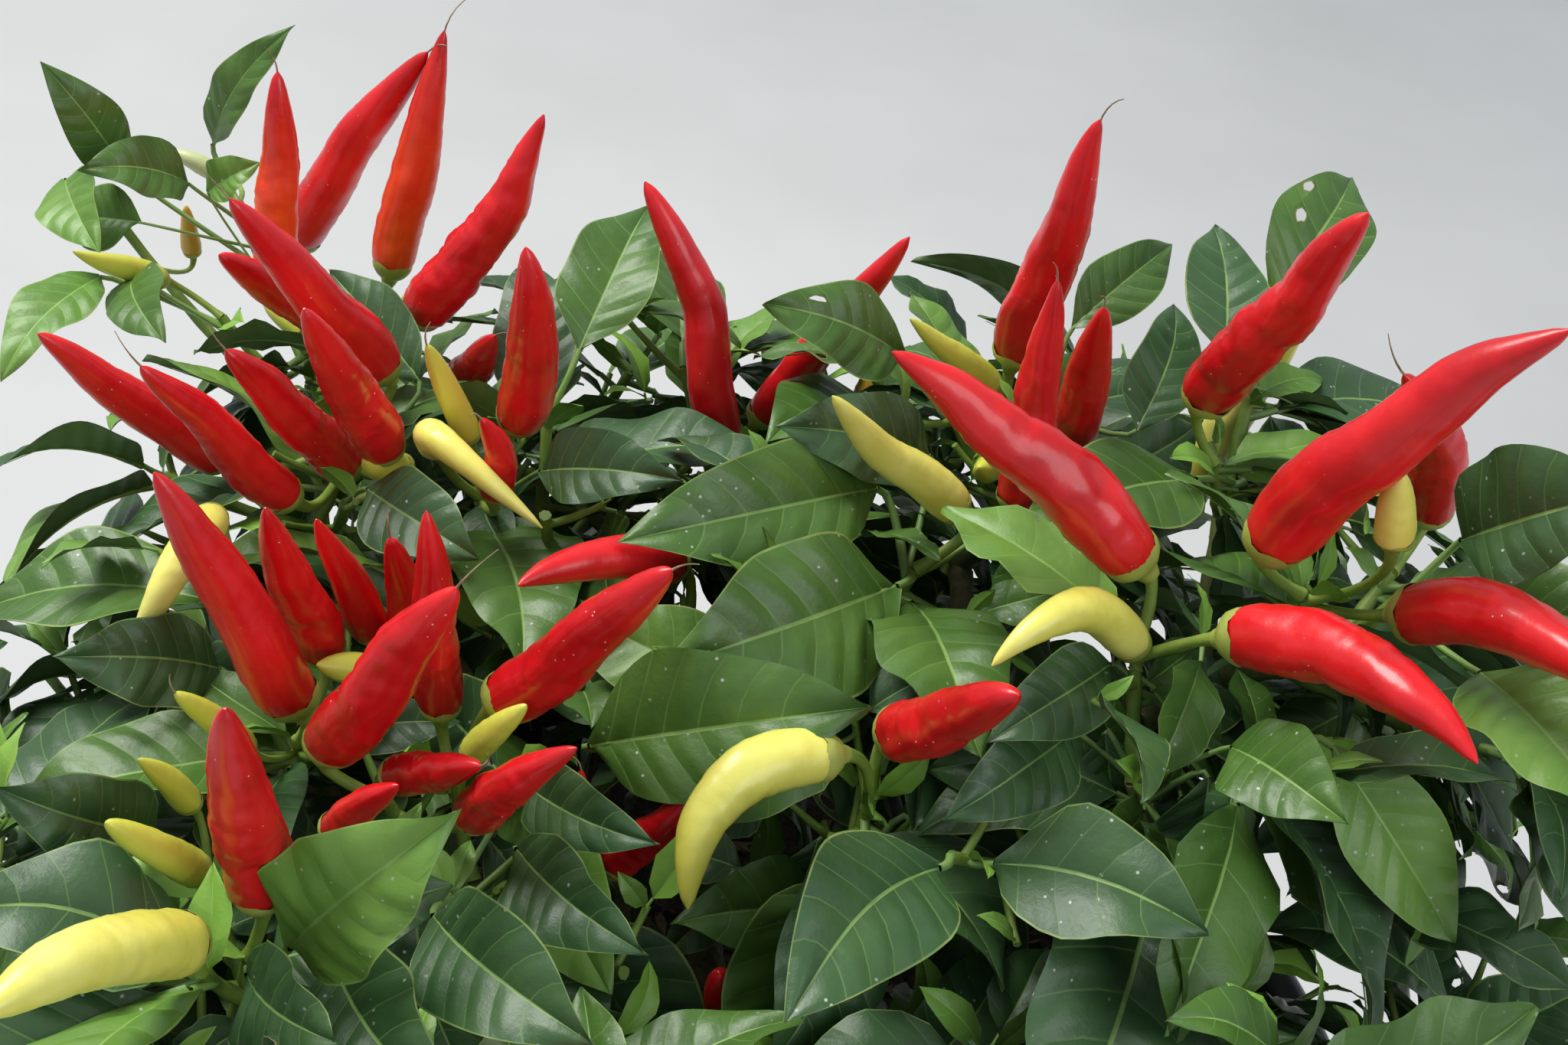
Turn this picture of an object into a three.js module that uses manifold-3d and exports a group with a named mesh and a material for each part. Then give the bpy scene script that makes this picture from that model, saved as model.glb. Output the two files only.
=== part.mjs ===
// An ornamental chilli plant in a round nursery pot, in millimetres, +Z up.
// The origin is the centre of the pot's flat underside. The crown's front is towards -Y.
import * as THREE from 'three';
import { mergeVertices } from 'three/addons/utils/BufferGeometryUtils.js';
import Module from 'manifold-3d';

const wasm = await Module();
wasm.setup();

// Driving dimensions of the pot
const POT_HEIGHT = 213;
const POT_FOOT_RADIUS = 90;
const POT_NECK_RADIUS = 118;
const POT_WALL = 2.6;
const RIM_RADIUS = 125;
const RIM_DEPTH = 17;
const RIM_BEAD = 2.5;
const RIM_TURN = 7;
const RIM_LIP = 2;
const FOOT_ROUND = [2, 3];
const POT_SIDES = 32;
const HOLE_RADIUS = 7;
const HOLE_RING_RADIUS = 58;
const HOLE_COUNT = 8;
const HOLE_SIDES = 6;
const COMPOST_LEVEL = 188;
const COMPOST_DIP = 3;
const COMPOST_SHOULDER = 14;
const COMPOST_CLEARANCE = 2.6;
const COMPOST_SIDES = 24;

// Driving dimensions of the woody frame
const GAP = 0.3;
const TRUNK_FOOT = [0, 0, 186];
const TRUNK_TIP = [2, 8, 222];
const FLARE_RADIUS = 9;
const TRUNK_RADIUS = 5.6;
const TRUNK_TIP_RADIUS = 4.6;
const BOUGH_TAPER = 0.78;
const KNUCKLE = 1.12;
const TRUNK_SIDES = 8;
const BOUGH_SIDES = 5;
const BOUGH_SAG = 0.1;
const TRUNK_BEND = [1.5, -2.5, 0];
const KNUCKLE_START = 2.2;
const KNUCKLE_END = 0.3;
const FLARE_SHARES = [0.07, 0.2];
const SWELL = 1.1;

// Driving dimensions of the twigs, leaves and fruit
const STEM_RADIUS = 1.8;
const STEM_TIP_RADIUS = 1.5;
const ROOT_CONE = 3;
const TWIG_RADIUS = 1.3;
const TWIG_TIP_RADIUS = 1;
const STALK_RADIUS = 1.2;
const STALK_TOP_RADIUS = 1.6;
const STALK_SPACING = 0.075;
const TWIG_SPACING = 0.12;
const TWIG_SAG = 0.12;
const LOWEST_TWIG = 0.4;
const LOWEST_STALK = 0.3;
const STALK_BEND = 0.45;
const STEM_SIDES = 4;
const TWIG_SIDES = 3;
const POD_SIDES = 5;
const LEAF_THICKNESS = 0.022;
const LEAF_WIDEST = 0.42;
const LEAF_ARCH = 0.1;
const LEAF_FOLD = 0.16;
const LEAF_WIDTH_RATIO = 0.48;
const LEAF_WIDTH_RANGE = [0.85, 1.12];
const LEAF_SLOPES = [0.5, -1.1];
const LEAF_ROLL = 0.35;
const LEAF_OUTWARD = 0.7;
const FACING_SHARE = 0.85;
const LEAF_ROWS = 8;
const LEAF_COLUMNS = [-0.9, -0.45, 0, 0.45, 0.9];
const LEAF_BALL = 0.5;
const SHARE_DISTANCE = 24;
const SPRIG_SPACING = 22;
const FOOT_STALK = 13;
const SPRIG_REACH = [42, 42, 30];
const SPRIG_LIFTS = [0.95, -0.35];
const LOW_SPRIG_LIFTS = [0.1, -0.8];
const SPRIG_NEAREST = 0.7;
const SPRIG_INSET = 14;
const TURN_PLAY = 0.8;
const LEAF_SPARE = 6;
const LEAF_SLACK = 20;
const SPRIG_TRIES = 22;
const SPRIG_LIMIT = 6;
const LEAF_TRIES = 14;
const LEAF_LIMIT = 3;
const LEAF_ROUNDS = [1, 0.86, 0.72];
const LEAF_LENGTHS = [36, 52];
const LOW_LEAF_LENGTHS = [48, 64];
const POD_LENGTHS = [36, 50];
const POD_GIRTHS = [7.5, 9.5];
const POD_SHARE = 0.5;
const POD_TURN = 0.9;
const POD_LEANS = [0.25, 0.75];
const POD_FEET = [12, 18];
const POD_BEND = 7;
const RED_SHARE = 0.72;
const POD_GIRTHS_ALONG = [0.42, 0.5, 0.38, 0.22, 0.06];
const POD_SHOULDER = 0.16;
const POD_WAIST = [0.78, 0.62];
const GOLDEN_ANGLE = Math.PI * (3 - Math.sqrt(5));
const SEED = 20261;

// The crown's outline: an ellipse in plan under a dome that is higher on its right side
const CROWN_CENTRE = [-4, 10];
const CROWN_RADII = [150, 128];
const CROWN_SHOULDER = 300;
const CROWN_RISE = 28;
const CROWN_TILT = 0.14;
const CROWN_SKIRT = 218;

// Boughs: the limb each one grows from, its tip, and its radius there
const BOUGHS = {
  bough_left: { from: 'trunk', tip: [-36, 26, 250], radius: 3.1 },
  bough_right: { from: 'trunk', tip: [44, 22, 262], radius: 3.1 },
  bough_front: { from: 'trunk', tip: [10, -22, 244], radius: 2.7 },
  bough_back: { from: 'trunk', tip: [-10, 48, 246], radius: 2.8 },
  bough_left_back: { from: 'bough_left', tip: [-74, 80, 258], radius: 2.2 },
  bough_left_side: { from: 'bough_left', tip: [-80, 16, 254], radius: 2.2 },
  bough_left_front: { from: 'bough_left', tip: [-44, -16, 250], radius: 2.2 },
  bough_front_right: { from: 'bough_front', tip: [28, -48, 250], radius: 2.1 },
  bough_back_left: { from: 'bough_back', tip: [-22, 86, 254], radius: 2.1 },
  bough_right_back: { from: 'bough_right', tip: [34, 80, 274], radius: 2.2 },
  bough_right_side: { from: 'bough_right', tip: [74, 42, 290], radius: 2.2 },
  bough_right_front: { from: 'bough_right', tip: [74, -4, 276], radius: 2.2 },
};

// Foliage masses: the limb each one stands on, the heart where its stem forks, its large pods
// (colour, foot, tip, girth and, on a bent pod, the point it bends towards) and its large
// leaves (foot, tip and width). The seeded rule grows every other twig, leaf and pod: no pods
// where a mass is podless, and only twigs below its heart where it is low.
const MASSES = {
  foliage_back_left: {
    on: 'bough_left_back',
    heart: [-96, 108, 270],
    pods: [
      ['orange', [-105, 110, 287], [-106, 114, 333], 8.5],
      ['red', [-107, 130, 287], [-81, 126, 336], 10, [-98, 131, 310]],
      ['orange', [-85, 119, 291], [-78, 126, 341], 9],
      ['red', [-75, 98, 296], [-54, 99, 342], 10, [-60, 98, 318]],
      ['yellow', [-126, 105, 289], [-137, 89, 303], 5],
    ],
    leaves: [
      [[-127, 139, 300], [-111, 138, 330], 10],
      [[-127, 125, 299], [-141, 107, 310], 13],
      [[-134, 116, 294], [-150, 122, 288], 14],
      [[-136, 100, 291], [-144, 69, 288], 13],
      [[-140, 125, 299], [-152, 118, 324], 12],
      [[-151, 122, 297], [-135, 97, 298], 13],
      [[-130, 100, 292], [-116, 75, 297], 13],
      [[-124, 126, 297], [-114, 126, 306], 9],
    ],
  },
  foliage_left_upper: {
    on: 'bough_left_back',
    heart: [-84, 60, 272],
    podless: true,
    pods: [
      ['red', [-75, 74, 299], [-97, 57, 340], 9],
      ['red', [-90, 90, 295], [-103, 69, 321], 7],
      ['red', [-100, 58, 286], [-123, 39, 320], 8.5],
      ['red', [-84, 46, 290], [-103, 30, 324], 8],
      ['red', [-77, 56, 290], [-92, 38, 324], 8],
      ['red', [-69, 50, 300], [-78, 33, 338], 9],
    ],
    leaves: [
      [[-69, 78, 295], [-92, 100, 301], 14],
      [[-70, 42, 298], [-48, 27, 300], 15],
    ],
  },
  foliage_middle_left: {
    on: 'bough_back',
    heart: [-52, 60, 276],
    pods: [
      ['yellow', [-56, 57, 301], [-63, 52, 322], 5],
      ['yellow', [-60, 50, 303], [-39, 36, 301], 6.5, [-62, 46, 316]],
      ['red', [-49, 46, 298], [-51, 40, 318], 6],
      ['red', [-48, 60, 305], [-47, 47, 347], 9.5, [-42, 50, 326]],
      ['red', [-66, 99, 282], [-58, 87, 302], 7.5],
    ],
    leaves: [
      [[-49, 84, 286], [-58, 117, 302], 16],
      [[-41, 76, 309], [-35, 109, 322], 17],
      [[-42, 47, 304], [-18, 36, 316], 13],
    ],
  },
  foliage_left: {
    on: 'bough_left_side',
    heart: [-70, 2, 270],
    pods: [
      ['red', [-68, -6, 293], [-86, -12, 338], 10],
      ['yellow', [-91, 26, 300], [-97, 4, 290], 6, [-90, 12, 306]],
      ['red', [-68, 9, 291], [-74, -1, 326], 8.5],
      ['red', [-62, 17, 289], [-69, 8, 318], 6.5],
      ['red', [-55, 17, 289], [-58, 9, 316], 6.5],
      ['yellow', [-74, -12, 288], [-82, -19, 304], 4.5],
    ],
    leaves: [
      [[-84, 8, 284], [-104, -8, 296], 15],
    ],
  },
  foliage_near_left: {
    on: 'bough_left_front',
    heart: [-38, -14, 270],
    pods: [
      ['red', [-47, -1, 292], [-51, 1, 329], 7.5],
      ['red', [-60, -17, 296], [-42, -20, 334], 9.5],
      ['red', [-37, -6, 301], [-14, -12, 337], 9.5],
      ['red', [-50, -20, 296], [-35, -30, 311], 6],
      ['red', [-37, -26, 297], [-22, -34, 322], 7, [-34, -32, 311]],
      ['red', [-56, -29, 292], [-46, -33, 308], 6],
      ['yellow', [-40, -12, 295], [-32, -14, 309], 4.5],
      ['red', [-17, -13, 277], [-5, -13, 297], 7],
      ['red', [-22, -10, 271], [-23, -15, 299], 6.5],
    ],
    leaves: [
      [[-30, -26, 292], [-10, -47, 299], 14],
      [[-39, -40, 291], [-13, -65, 301], 18],
      [[-31, -17, 296], [-11, -34, 306], 12],
    ],
  },
  foliage_front_left: {
    on: 'bough_left_front',
    heart: [-66, -44, 266],
    pods: [
      ['red', [-62, -44, 293], [-64, -51, 335], 9.5],
      ['yellow', [-78, -26, 289], [-83, -32, 303], 4.5],
      ['yellow', [-73, -38, 289], [-82, -47, 306], 5.5],
      ['yellow', [-68, -60, 300], [-79, -92, 322], 9.5, [-70, -74, 318]],
    ],
    leaves: [
      [[-57, -48, 288], [-36, -49, 320], 20],
      [[-62, -51, 285], [-44, -68, 296], 16],
      [[-86, -31, 281], [-89, -55, 298], 14],
      [[-82, -30, 286], [-98, -43, 304], 15],
      [[-52, -44, 284], [-29, -72, 290], 20],
    ],
  },
  foliage_middle: {
    on: 'bough_back',
    heart: [-8, 22, 272],
    pods: [
      ['red', [-16, 32, 301], [-38, 8, 312], 7.5, [-28, 22, 312]],
    ],
    leaves: [
      [[-24, -2, 291], [17, -4, 311], 23],
    ],
  },
  foliage_back: {
    on: 'bough_back_left',
    heart: [-8, 86, 270],
    pods: [
      ['red', [-14, 80, 290], [-34, 89, 338], 8.7, [-18, 84, 318]],
      ['red', [-8, 97, 287], [13, 93, 334], 8],
    ],
    leaves: [],
  },
  foliage_middle_right: {
    on: 'bough_right',
    heart: [16, 36, 288],
    pods: [
      ['yellow', [28, 42, 315], [4, 36, 337], 7, [15, 40, 322]],
    ],
    leaves: [
      [[20, 30, 307], [-14, 0, 308], 26],
      [[15, 51, 310], [-25, 21, 313], 20],
      [[23, 61, 311], [-4, 45, 323], 16],
    ],
  },
  foliage_back_right: {
    on: 'bough_right_back',
    heart: [42, 70, 298],
    pods: [
      ['yellow', [33, 80, 314], [15, 73, 330], 5],
      ['red', [35, 84, 319], [39, 80, 369], 9.7],
      ['red', [37, 50, 313], [35, 50, 356], 8],
      ['red', [46, 68, 315], [44, 56, 349], 8],
    ],
    leaves: [
      [[16, 81, 317], [-10, 71, 329], 16],
      [[44, 88, 324], [61, 108, 334], 12],
      [[56, 64, 321], [61, 89, 333], 13],
    ],
  },
  foliage_right_back: {
    on: 'bough_right_side',
    heart: [74, 62, 308],
    pods: [
      ['red', [65, 62, 331], [76, 45, 379], 10],
    ],
    leaves: [
      [[76, 86, 338], [90, 114, 351], 18],
      [[68, 70, 334], [65, 98, 344], 15],
    ],
  },
  foliage_right: {
    on: 'bough_right_side',
    heart: [90, 26, 312],
    pods: [
      ['red', [72, 20, 335], [95, 4, 389], 11.5, [80, 10, 364]],
      ['red', [103, 50, 325], [87, 37, 358], 9, [100, 44, 346]],
      ['yellow', [87, 14, 344], [82, 12, 358], 6],
      ['red', [92, 12, 333], [110, -22, 352], 10, [102, -2, 350]],
    ],
    leaves: [
      [[100, 24, 339], [114, 6, 366], 20],
      [[104, 18, 334], [126, 0, 344], 14],
      [[104, 8, 328], [118, -22, 330], 20],
    ],
  },
  foliage_near_right: {
    on: 'bough_right_front',
    heart: [60, 4, 298],
    podless: true,
    low: true,
    pods: [
      ['red', [54, 21, 327], [11, 19, 358], 10.7, [30, 22, 348]],
      ['red', [68, 8, 326], [95, -26, 340], 10, [84, -6, 342]],
      ['yellow', [56, 14, 316], [33, -4, 323], 7, [42, 8, 334]],
    ],
    leaves: [
      [[54, 8, 304], [61, 2, 274], 15],
      [[70, 2, 304], [71, -13, 278], 17],
      [[65, -4, 290], [52, -58, 274], 30],
      [[49, 6, 304], [31, -16, 303], 14],
      [[53, 13, 313], [35, -7, 311], 13],
      [[71, 0, 312], [84, -20, 320], 15],
      [[84, -2, 318], [110, -10, 290], 16],
    ],
  },
  foliage_near_middle: {
    on: 'bough_front',
    heart: [18, -4, 266],
    podless: true,
    low: true,
    pods: [
      ['red', [22, 0, 303], [36, -16, 329], 9.3],
      ['yellow', [13, -7, 303], [-4, -30, 290], 8.8, [-8, -20, 309]],
      ['red', [6, -20, 252], [2, -26, 273], 7.6],
    ],
    leaves: [
      [[28, 6, 280], [52, -2, 244], 20],
      [[20, -2, 281], [27, -8, 250], 16],
      [[14, -2, 280], [8, -10, 252], 14],
    ],
  },
  foliage_left_outer: {
    on: 'bough_left_side',
    heart: [-110, 20, 240],
    low: true,
    pods: [],
    leaves: [],
  },
  foliage_left_front_outer: {
    on: 'bough_left_side',
    heart: [-100, -26, 250],
    pods: [],
    leaves: [],
  },
  foliage_back_left_outer: {
    on: 'bough_back_left',
    heart: [-48, 112, 254],
    podless: true,
    pods: [],
    leaves: [],
  },
  foliage_back_right_outer: {
    on: 'bough_right_back',
    heart: [36, 110, 262],
    pods: [],
    leaves: [],
  },
  foliage_right_outer: {
    on: 'bough_right_front',
    heart: [104, -14, 248],
    podless: true,
    low: true,
    pods: [],
    leaves: [],
  },
  foliage_right_low: {
    on: 'bough_right_side',
    heart: [108, 44, 276],
    pods: [],
    leaves: [],
  },
  foliage_front: {
    on: 'bough_front',
    heart: [-24, -72, 252],
    pods: [],
    leaves: [],
  },
  foliage_front_right: {
    on: 'bough_front_right',
    heart: [66, -54, 262],
    podless: true,
    pods: [],
    leaves: [],
  },
  foliage_front_outer: {
    on: 'bough_front_right',
    heart: [22, -86, 248],
    pods: [],
    leaves: [],
  },
};

// Colours, roughness and metalness
const FINISHES = {
  pot: { color: 0x16181a, roughness: 0.55, metalness: 0 },
  compost: { color: 0x2b2019, roughness: 0.95, metalness: 0 },
  bark: { color: 0x6f7a45, roughness: 0.75, metalness: 0 },
  foliage: { color: 0x2f6b2b, roughness: 0.5, metalness: 0 },
};

const FRONT = new THREE.Vector3(0, -0.79, 0.61).normalize();
const UP = new THREE.Vector3(0, 0, 1);

// Corners nearer than this are one, in a single shape and in a joined one
const FINE = 1e-5;
const COARSE = 1e-3;

function vector(triple) {
  return new THREE.Vector3(...triple);
}

function mix(low, high, share) {
  return low + (high - low) * share;
}

// A repeatable number from 0 to 1 for a set of whole-number keys
function chance(a, b, c) {
  let h = (SEED + a * 7919 + b * 104729 + c * 1299709) % 4294967296;
  h = Math.imul(h ^ (h >>> 15), 2246822519) >>> 0;
  h = Math.imul(h ^ (h >>> 13), 3266489917) >>> 0;
  return ((h ^ (h >>> 16)) >>> 0) / 4294967296;
}

// Keeps only positions, shares the corners, and drops the triangles that close to nothing at a pole
function closed(geometry, tolerance) {
  geometry.deleteAttribute('normal');
  geometry.deleteAttribute('uv');
  const merged = mergeVertices(geometry, tolerance);
  const corners = merged.index.array;
  const kept = [];
  for (let i = 0; i < corners.length; i += 3) {
    const [a, b, c] = [corners[i], corners[i + 1], corners[i + 2]];
    if (a !== b && b !== c && c !== a) {
      kept.push(a, b, c);
    }
  }
  merged.setIndex(kept);
  return merged;
}

function toSolid(geometry) {
  const merged = closed(geometry, FINE);
  const solid = new wasm.Manifold(new wasm.Mesh({
    numProp: 3,
    vertProperties: new Float32Array(merged.attributes.position.array),
    triVerts: new Uint32Array(merged.index.array),
  }));
  if (solid.volume() > 0) {
    return solid;
  }
  const turned = merged.index.array.slice().reverse();
  return new wasm.Manifold(new wasm.Mesh({
    numProp: 3,
    vertProperties: new Float32Array(merged.attributes.position.array),
    triVerts: new Uint32Array(turned),
  }));
}

// The largest piece of a solid, so that scraps and sealed hollows are left out
function largest(solid) {
  const pieces = solid.decompose();
  return pieces.reduce((best, piece) => (piece.volume() > best.volume() ? piece : best));
}

function toGeometry(solid) {
  const mesh = solid.getMesh();
  const geometry = new THREE.BufferGeometry();
  geometry.setAttribute('position', new THREE.BufferAttribute(mesh.vertProperties, 3));
  geometry.setIndex(new THREE.BufferAttribute(mesh.triVerts, 1));
  return geometry;
}

// Whether each edge still has two faces once the corners that all but touch are shared
function staysClosed(solid) {
  const corners = closed(toGeometry(solid), COARSE).index.array;
  const faces = new Map();
  for (let i = 0; i < corners.length; i++) {
    const next = i % 3 === 2 ? corners[i - 2] : corners[i + 1];
    const edge = Math.min(corners[i], next) * corners.length + Math.max(corners[i], next);
    faces.set(edge, (faces.get(edge) ?? 0) + 1);
  }
  return [...faces.values()].every((count) => count === 2);
}

// A curve from one point to another that leaves the straight line towards a third
function arc(from, towards, to) {
  return new THREE.QuadraticBezierCurve3(from, towards, to);
}

// Turns a profile of [radius, share of the way] about a curve, as a closed round body
function sweep(profile, curve, sides) {
  const geometry = new THREE.LatheGeometry(profile.map(([r, t]) => new THREE.Vector2(r, t)), sides);
  const position = geometry.attributes.position;
  const chord = curve.getPoint(1).sub(curve.getPoint(0)).normalize();
  const side = Math.abs(chord.z) < 0.9 ? UP : new THREE.Vector3(1, 0, 0);
  for (let i = 0; i < position.count; i++) {
    const share = position.getY(i);
    const held = Math.min(Math.max(share, 0), 1);
    const tangent = curve.getTangent(held);
    const across = new THREE.Vector3().crossVectors(side, tangent).normalize();
    const rise = new THREE.Vector3().crossVectors(tangent, across);
    const point = curve.getPoint(held)
      .addScaledVector(tangent, (share - held) * curve.getLength())
      .addScaledVector(across, position.getX(i))
      .addScaledVector(rise, position.getZ(i));
    position.setXYZ(i, point.x, point.y, point.z);
  }
  return toSolid(geometry);
}

function limbProfile(rootRadius, tipRadius, length, grow) {
  const knuckle = tipRadius * KNUCKLE + grow;
  const cap = knuckle / length;
  return [
    [0, 0],
    [rootRadius + grow, 0],
    [mix(rootRadius, tipRadius, 0.5) + grow, 0.5],
    [tipRadius + grow, 1 - KNUCKLE_START * cap],
    [knuckle, 1 - KNUCKLE_END * cap],
    [0, 1 + cap],
  ];
}

function trunkProfile(length, grow) {
  const knuckle = TRUNK_TIP_RADIUS * KNUCKLE + grow;
  const cap = knuckle / length;
  return [
    [0, 0],
    [FLARE_RADIUS + grow, 0],
    [mix(FLARE_RADIUS, TRUNK_RADIUS, 0.6) + grow, FLARE_SHARES[0]],
    [TRUNK_RADIUS + grow, FLARE_SHARES[1]],
    [mix(TRUNK_RADIUS, TRUNK_TIP_RADIUS, 0.5) + grow, 0.5],
    [TRUNK_TIP_RADIUS + grow, 1 - KNUCKLE_START * cap],
    [knuckle, 1 - KNUCKLE_END * cap],
    [knuckle * BOUGH_TAPER, 1 + 0.5 * cap],
    [0, 1 + cap],
  ];
}

function trunkCurve() {
  const foot = vector(TRUNK_FOOT);
  const tip = vector(TRUNK_TIP);
  const towards = foot.clone().lerp(tip, 0.5).add(vector(TRUNK_BEND));
  return arc(foot, towards, tip);
}

function tipOf(limb) {
  return limb === 'trunk' ? vector(TRUNK_TIP) : vector(BOUGHS[limb].tip);
}

function rootRadiusOf(limb) {
  const parent = BOUGHS[limb].from;
  const parentRadius = parent === 'trunk' ? TRUNK_TIP_RADIUS : BOUGHS[parent].radius;
  return Math.max(parentRadius * BOUGH_TAPER, BOUGHS[limb].radius * SWELL);
}

// A limb leaves its fork outwards and then turns up
function limbCurve(from, to) {
  const length = from.distanceTo(to);
  const towards = from.clone().lerp(to, 0.5).addScaledVector(UP, -BOUGH_SAG * length);
  return arc(from, towards, to);
}

function boughSolid(name, grow) {
  const bough = BOUGHS[name];
  const curve = limbCurve(tipOf(bough.from), vector(bough.tip));
  const profile = limbProfile(rootRadiusOf(name), bough.radius, curve.getLength(), grow);
  return sweep(profile, curve, BOUGH_SIDES);
}

// The trunk starts below the compost's level and is cut flat just above it
function trunkSolid(grow) {
  const curve = trunkCurve();
  const size = FLARE_RADIUS * 4;
  const below = new THREE.BoxGeometry(size, size, size);
  below.translate(0, 0, COMPOST_LEVEL + GAP - size / 2);
  return sweep(trunkProfile(curve.getLength(), grow), curve, TRUNK_SIDES).subtract(toSolid(below));
}

// What has grown so far, as groups of balls: the rule keeps new twigs, leaves and pods clear of them
const grown = [];

function remember(kind, owner, sprig, balls) {
  const middle = new THREE.Vector3();
  balls.forEach((ball) => middle.addScaledVector(ball.at, 1 / balls.length));
  const reach = Math.max(...balls.map((ball) => ball.at.distanceTo(middle) + ball.radius));
  grown.push({ kind, owner, sprig, balls, middle, reach });
}

function ballsAlong(curve, radii, count) {
  const balls = [];
  for (let i = 0; i <= count; i++) {
    const share = i / count;
    const at = curve.getPoint(share);
    const step = share * (radii.length - 1);
    const low = Math.min(Math.floor(step), radii.length - 2);
    balls.push({ at, radius: mix(radii[low], radii[low + 1], step - low), share });
  }
  return balls;
}

// The frame of a leaf: along its midrib, across it, and out of its upper face
function leafFrame(foot, tip, roll) {
  const along = tip.clone().sub(foot).normalize();
  const outward = new THREE.Vector3(foot.x - CROWN_CENTRE[0], foot.y - CROWN_CENTRE[1], 0).normalize();
  const sky = UP.clone().addScaledVector(outward, LEAF_OUTWARD);
  const face = sky.addScaledVector(along, -sky.dot(along)).normalize();
  face.applyAxisAngle(along, roll);
  const across = new THREE.Vector3().crossVectors(along, face);
  return { along, across, face };
}

// How far a leaf rolls about its midrib to turn its upper face most of the way to the front
function facingRoll(foot, tip) {
  const { across, face } = leafFrame(foot, tip, 0);
  return FACING_SHARE * Math.atan2(across.dot(FRONT), face.dot(FRONT));
}

function leafBalls(foot, tip, width, roll) {
  const { across, face } = leafFrame(foot, tip, roll);
  const length = foot.distanceTo(tip);
  const balls = [];
  for (let i = 1; i <= LEAF_ROWS; i++) {
    const share = i / LEAF_ROWS;
    const half = width / 2 * Math.sin(Math.PI * Math.pow(share, 0.8));
    const lift = LEAF_ARCH * length * 4 * share * (1 - share);
    const middle = foot.clone().lerp(tip, share).addScaledVector(face, lift);
    for (const way of LEAF_COLUMNS) {
      const at = middle.clone().addScaledVector(across, way * half);
      at.addScaledVector(face, Math.abs(way) * half * LEAF_FOLD);
      balls.push({ at, radius: LEAF_BALL, share });
    }
  }
  return balls;
}

// Clearances in millimetres between a new leaf or pod and what has grown
const CLEAR_OF_LEAF = 3.4;
const CLEAR_OF_OWN_LEAF = 2.2;
const CLEAR_OF_POD = 1.6;
const CLEAR_OF_WOOD = 1.6;
const CLEAR_OF_OWN_TWIG = 0.8;
const SHARED_ROOT = 0.3;

// The distance that a ball of a new thing keeps from a ball of an old one, or nothing where
// both stand on one sprig and are near their roots
function clearance(ball, old, oldBall, owner, sprig) {
  const sameSprig = old.owner === owner && old.sprig === sprig;
  if (sameSprig && (ball.share < SHARED_ROOT || oldBall.share < SHARED_ROOT)) {
    return 0;
  }
  if (old.kind === 'leaf') {
    return ball.radius + (sameSprig ? CLEAR_OF_OWN_LEAF : CLEAR_OF_LEAF);
  }
  if (old.kind === 'pod') {
    return ball.radius + oldBall.radius + CLEAR_OF_POD;
  }
  if (old.kind === 'twig' && old.owner === owner) {
    return ball.share < SHARED_ROOT ? 0 : ball.radius + oldBall.radius + CLEAR_OF_OWN_TWIG;
  }
  return ball.radius + oldBall.radius + CLEAR_OF_WOOD;
}

function isClear(balls, owner, sprig) {
  const middle = balls[Math.floor(balls.length / 2)].at;
  const reach = Math.max(...balls.map((ball) => ball.at.distanceTo(middle) + ball.radius));
  const near = grown.filter((old) => old.middle.distanceTo(middle) < old.reach + reach + CLEAR_OF_LEAF);
  return near.every((old) => balls.every((ball) => old.balls.every((oldBall) => (
    ball.at.distanceTo(oldBall.at) >= clearance(ball, old, oldBall, owner, sprig)
  ))));
}

function canopyHeight(x, y) {
  const u = (x - CROWN_CENTRE[0]) / CROWN_RADII[0];
  const v = (y - CROWN_CENTRE[1]) / CROWN_RADII[1];
  return CROWN_SHOULDER + CROWN_TILT * x + CROWN_RISE * (1 - u * u - v * v);
}

function insideCrown(point, spare) {
  const u = (point.x - CROWN_CENTRE[0]) / (CROWN_RADII[0] + spare);
  const v = (point.y - CROWN_CENTRE[1]) / (CROWN_RADII[1] + spare);
  const low = point.z < CROWN_SKIRT;
  const high = point.z > canopyHeight(point.x, point.y) + spare;
  return u * u + v * v < 1 && !low && !high;
}

// A mass keeps to the points that lie nearer to its heart than to any other heart
function inOwnSpace(point, owner, spare) {
  const own = point.distanceTo(vector(MASSES[owner].heart));
  for (const [name, mass] of Object.entries(MASSES)) {
    if (name !== owner && point.distanceTo(vector(mass.heart)) + spare < own) {
      return false;
    }
  }
  return true;
}

// The plan of every mass: its twigs, pods and leaves as curves and sizes, before any solid is made
const plans = {};

// Twigs leave the stem one below the other, from the heart downwards
function twigCurve(plan, point) {
  const root = plan.stem.getPoint(Math.max(LOWEST_TWIG, 1 - TWIG_SPACING * plan.sprigs.length));
  const towards = root.clone().lerp(point, 0.5).addScaledVector(UP, -TWIG_SAG * root.distanceTo(point));
  return arc(root, towards, point);
}

// What a sprig carries stands along its last stretch, one below the other
function nextRoot(sprig) {
  sprig.carried += 1;
  return sprig.curve.getPoint(Math.max(LOWEST_STALK, 1 - STALK_SPACING * (sprig.carried - 1)));
}

function addSprig(plan, point) {
  const curve = twigCurve(plan, point);
  plan.sprigs.push({ point, curve, carried: 0 });
  remember('twig', plan.name, plan.sprigs.length - 1, ballsAlong(curve, [TWIG_RADIUS, TWIG_TIP_RADIUS], 6));
  return plan.sprigs.length - 1;
}

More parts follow.
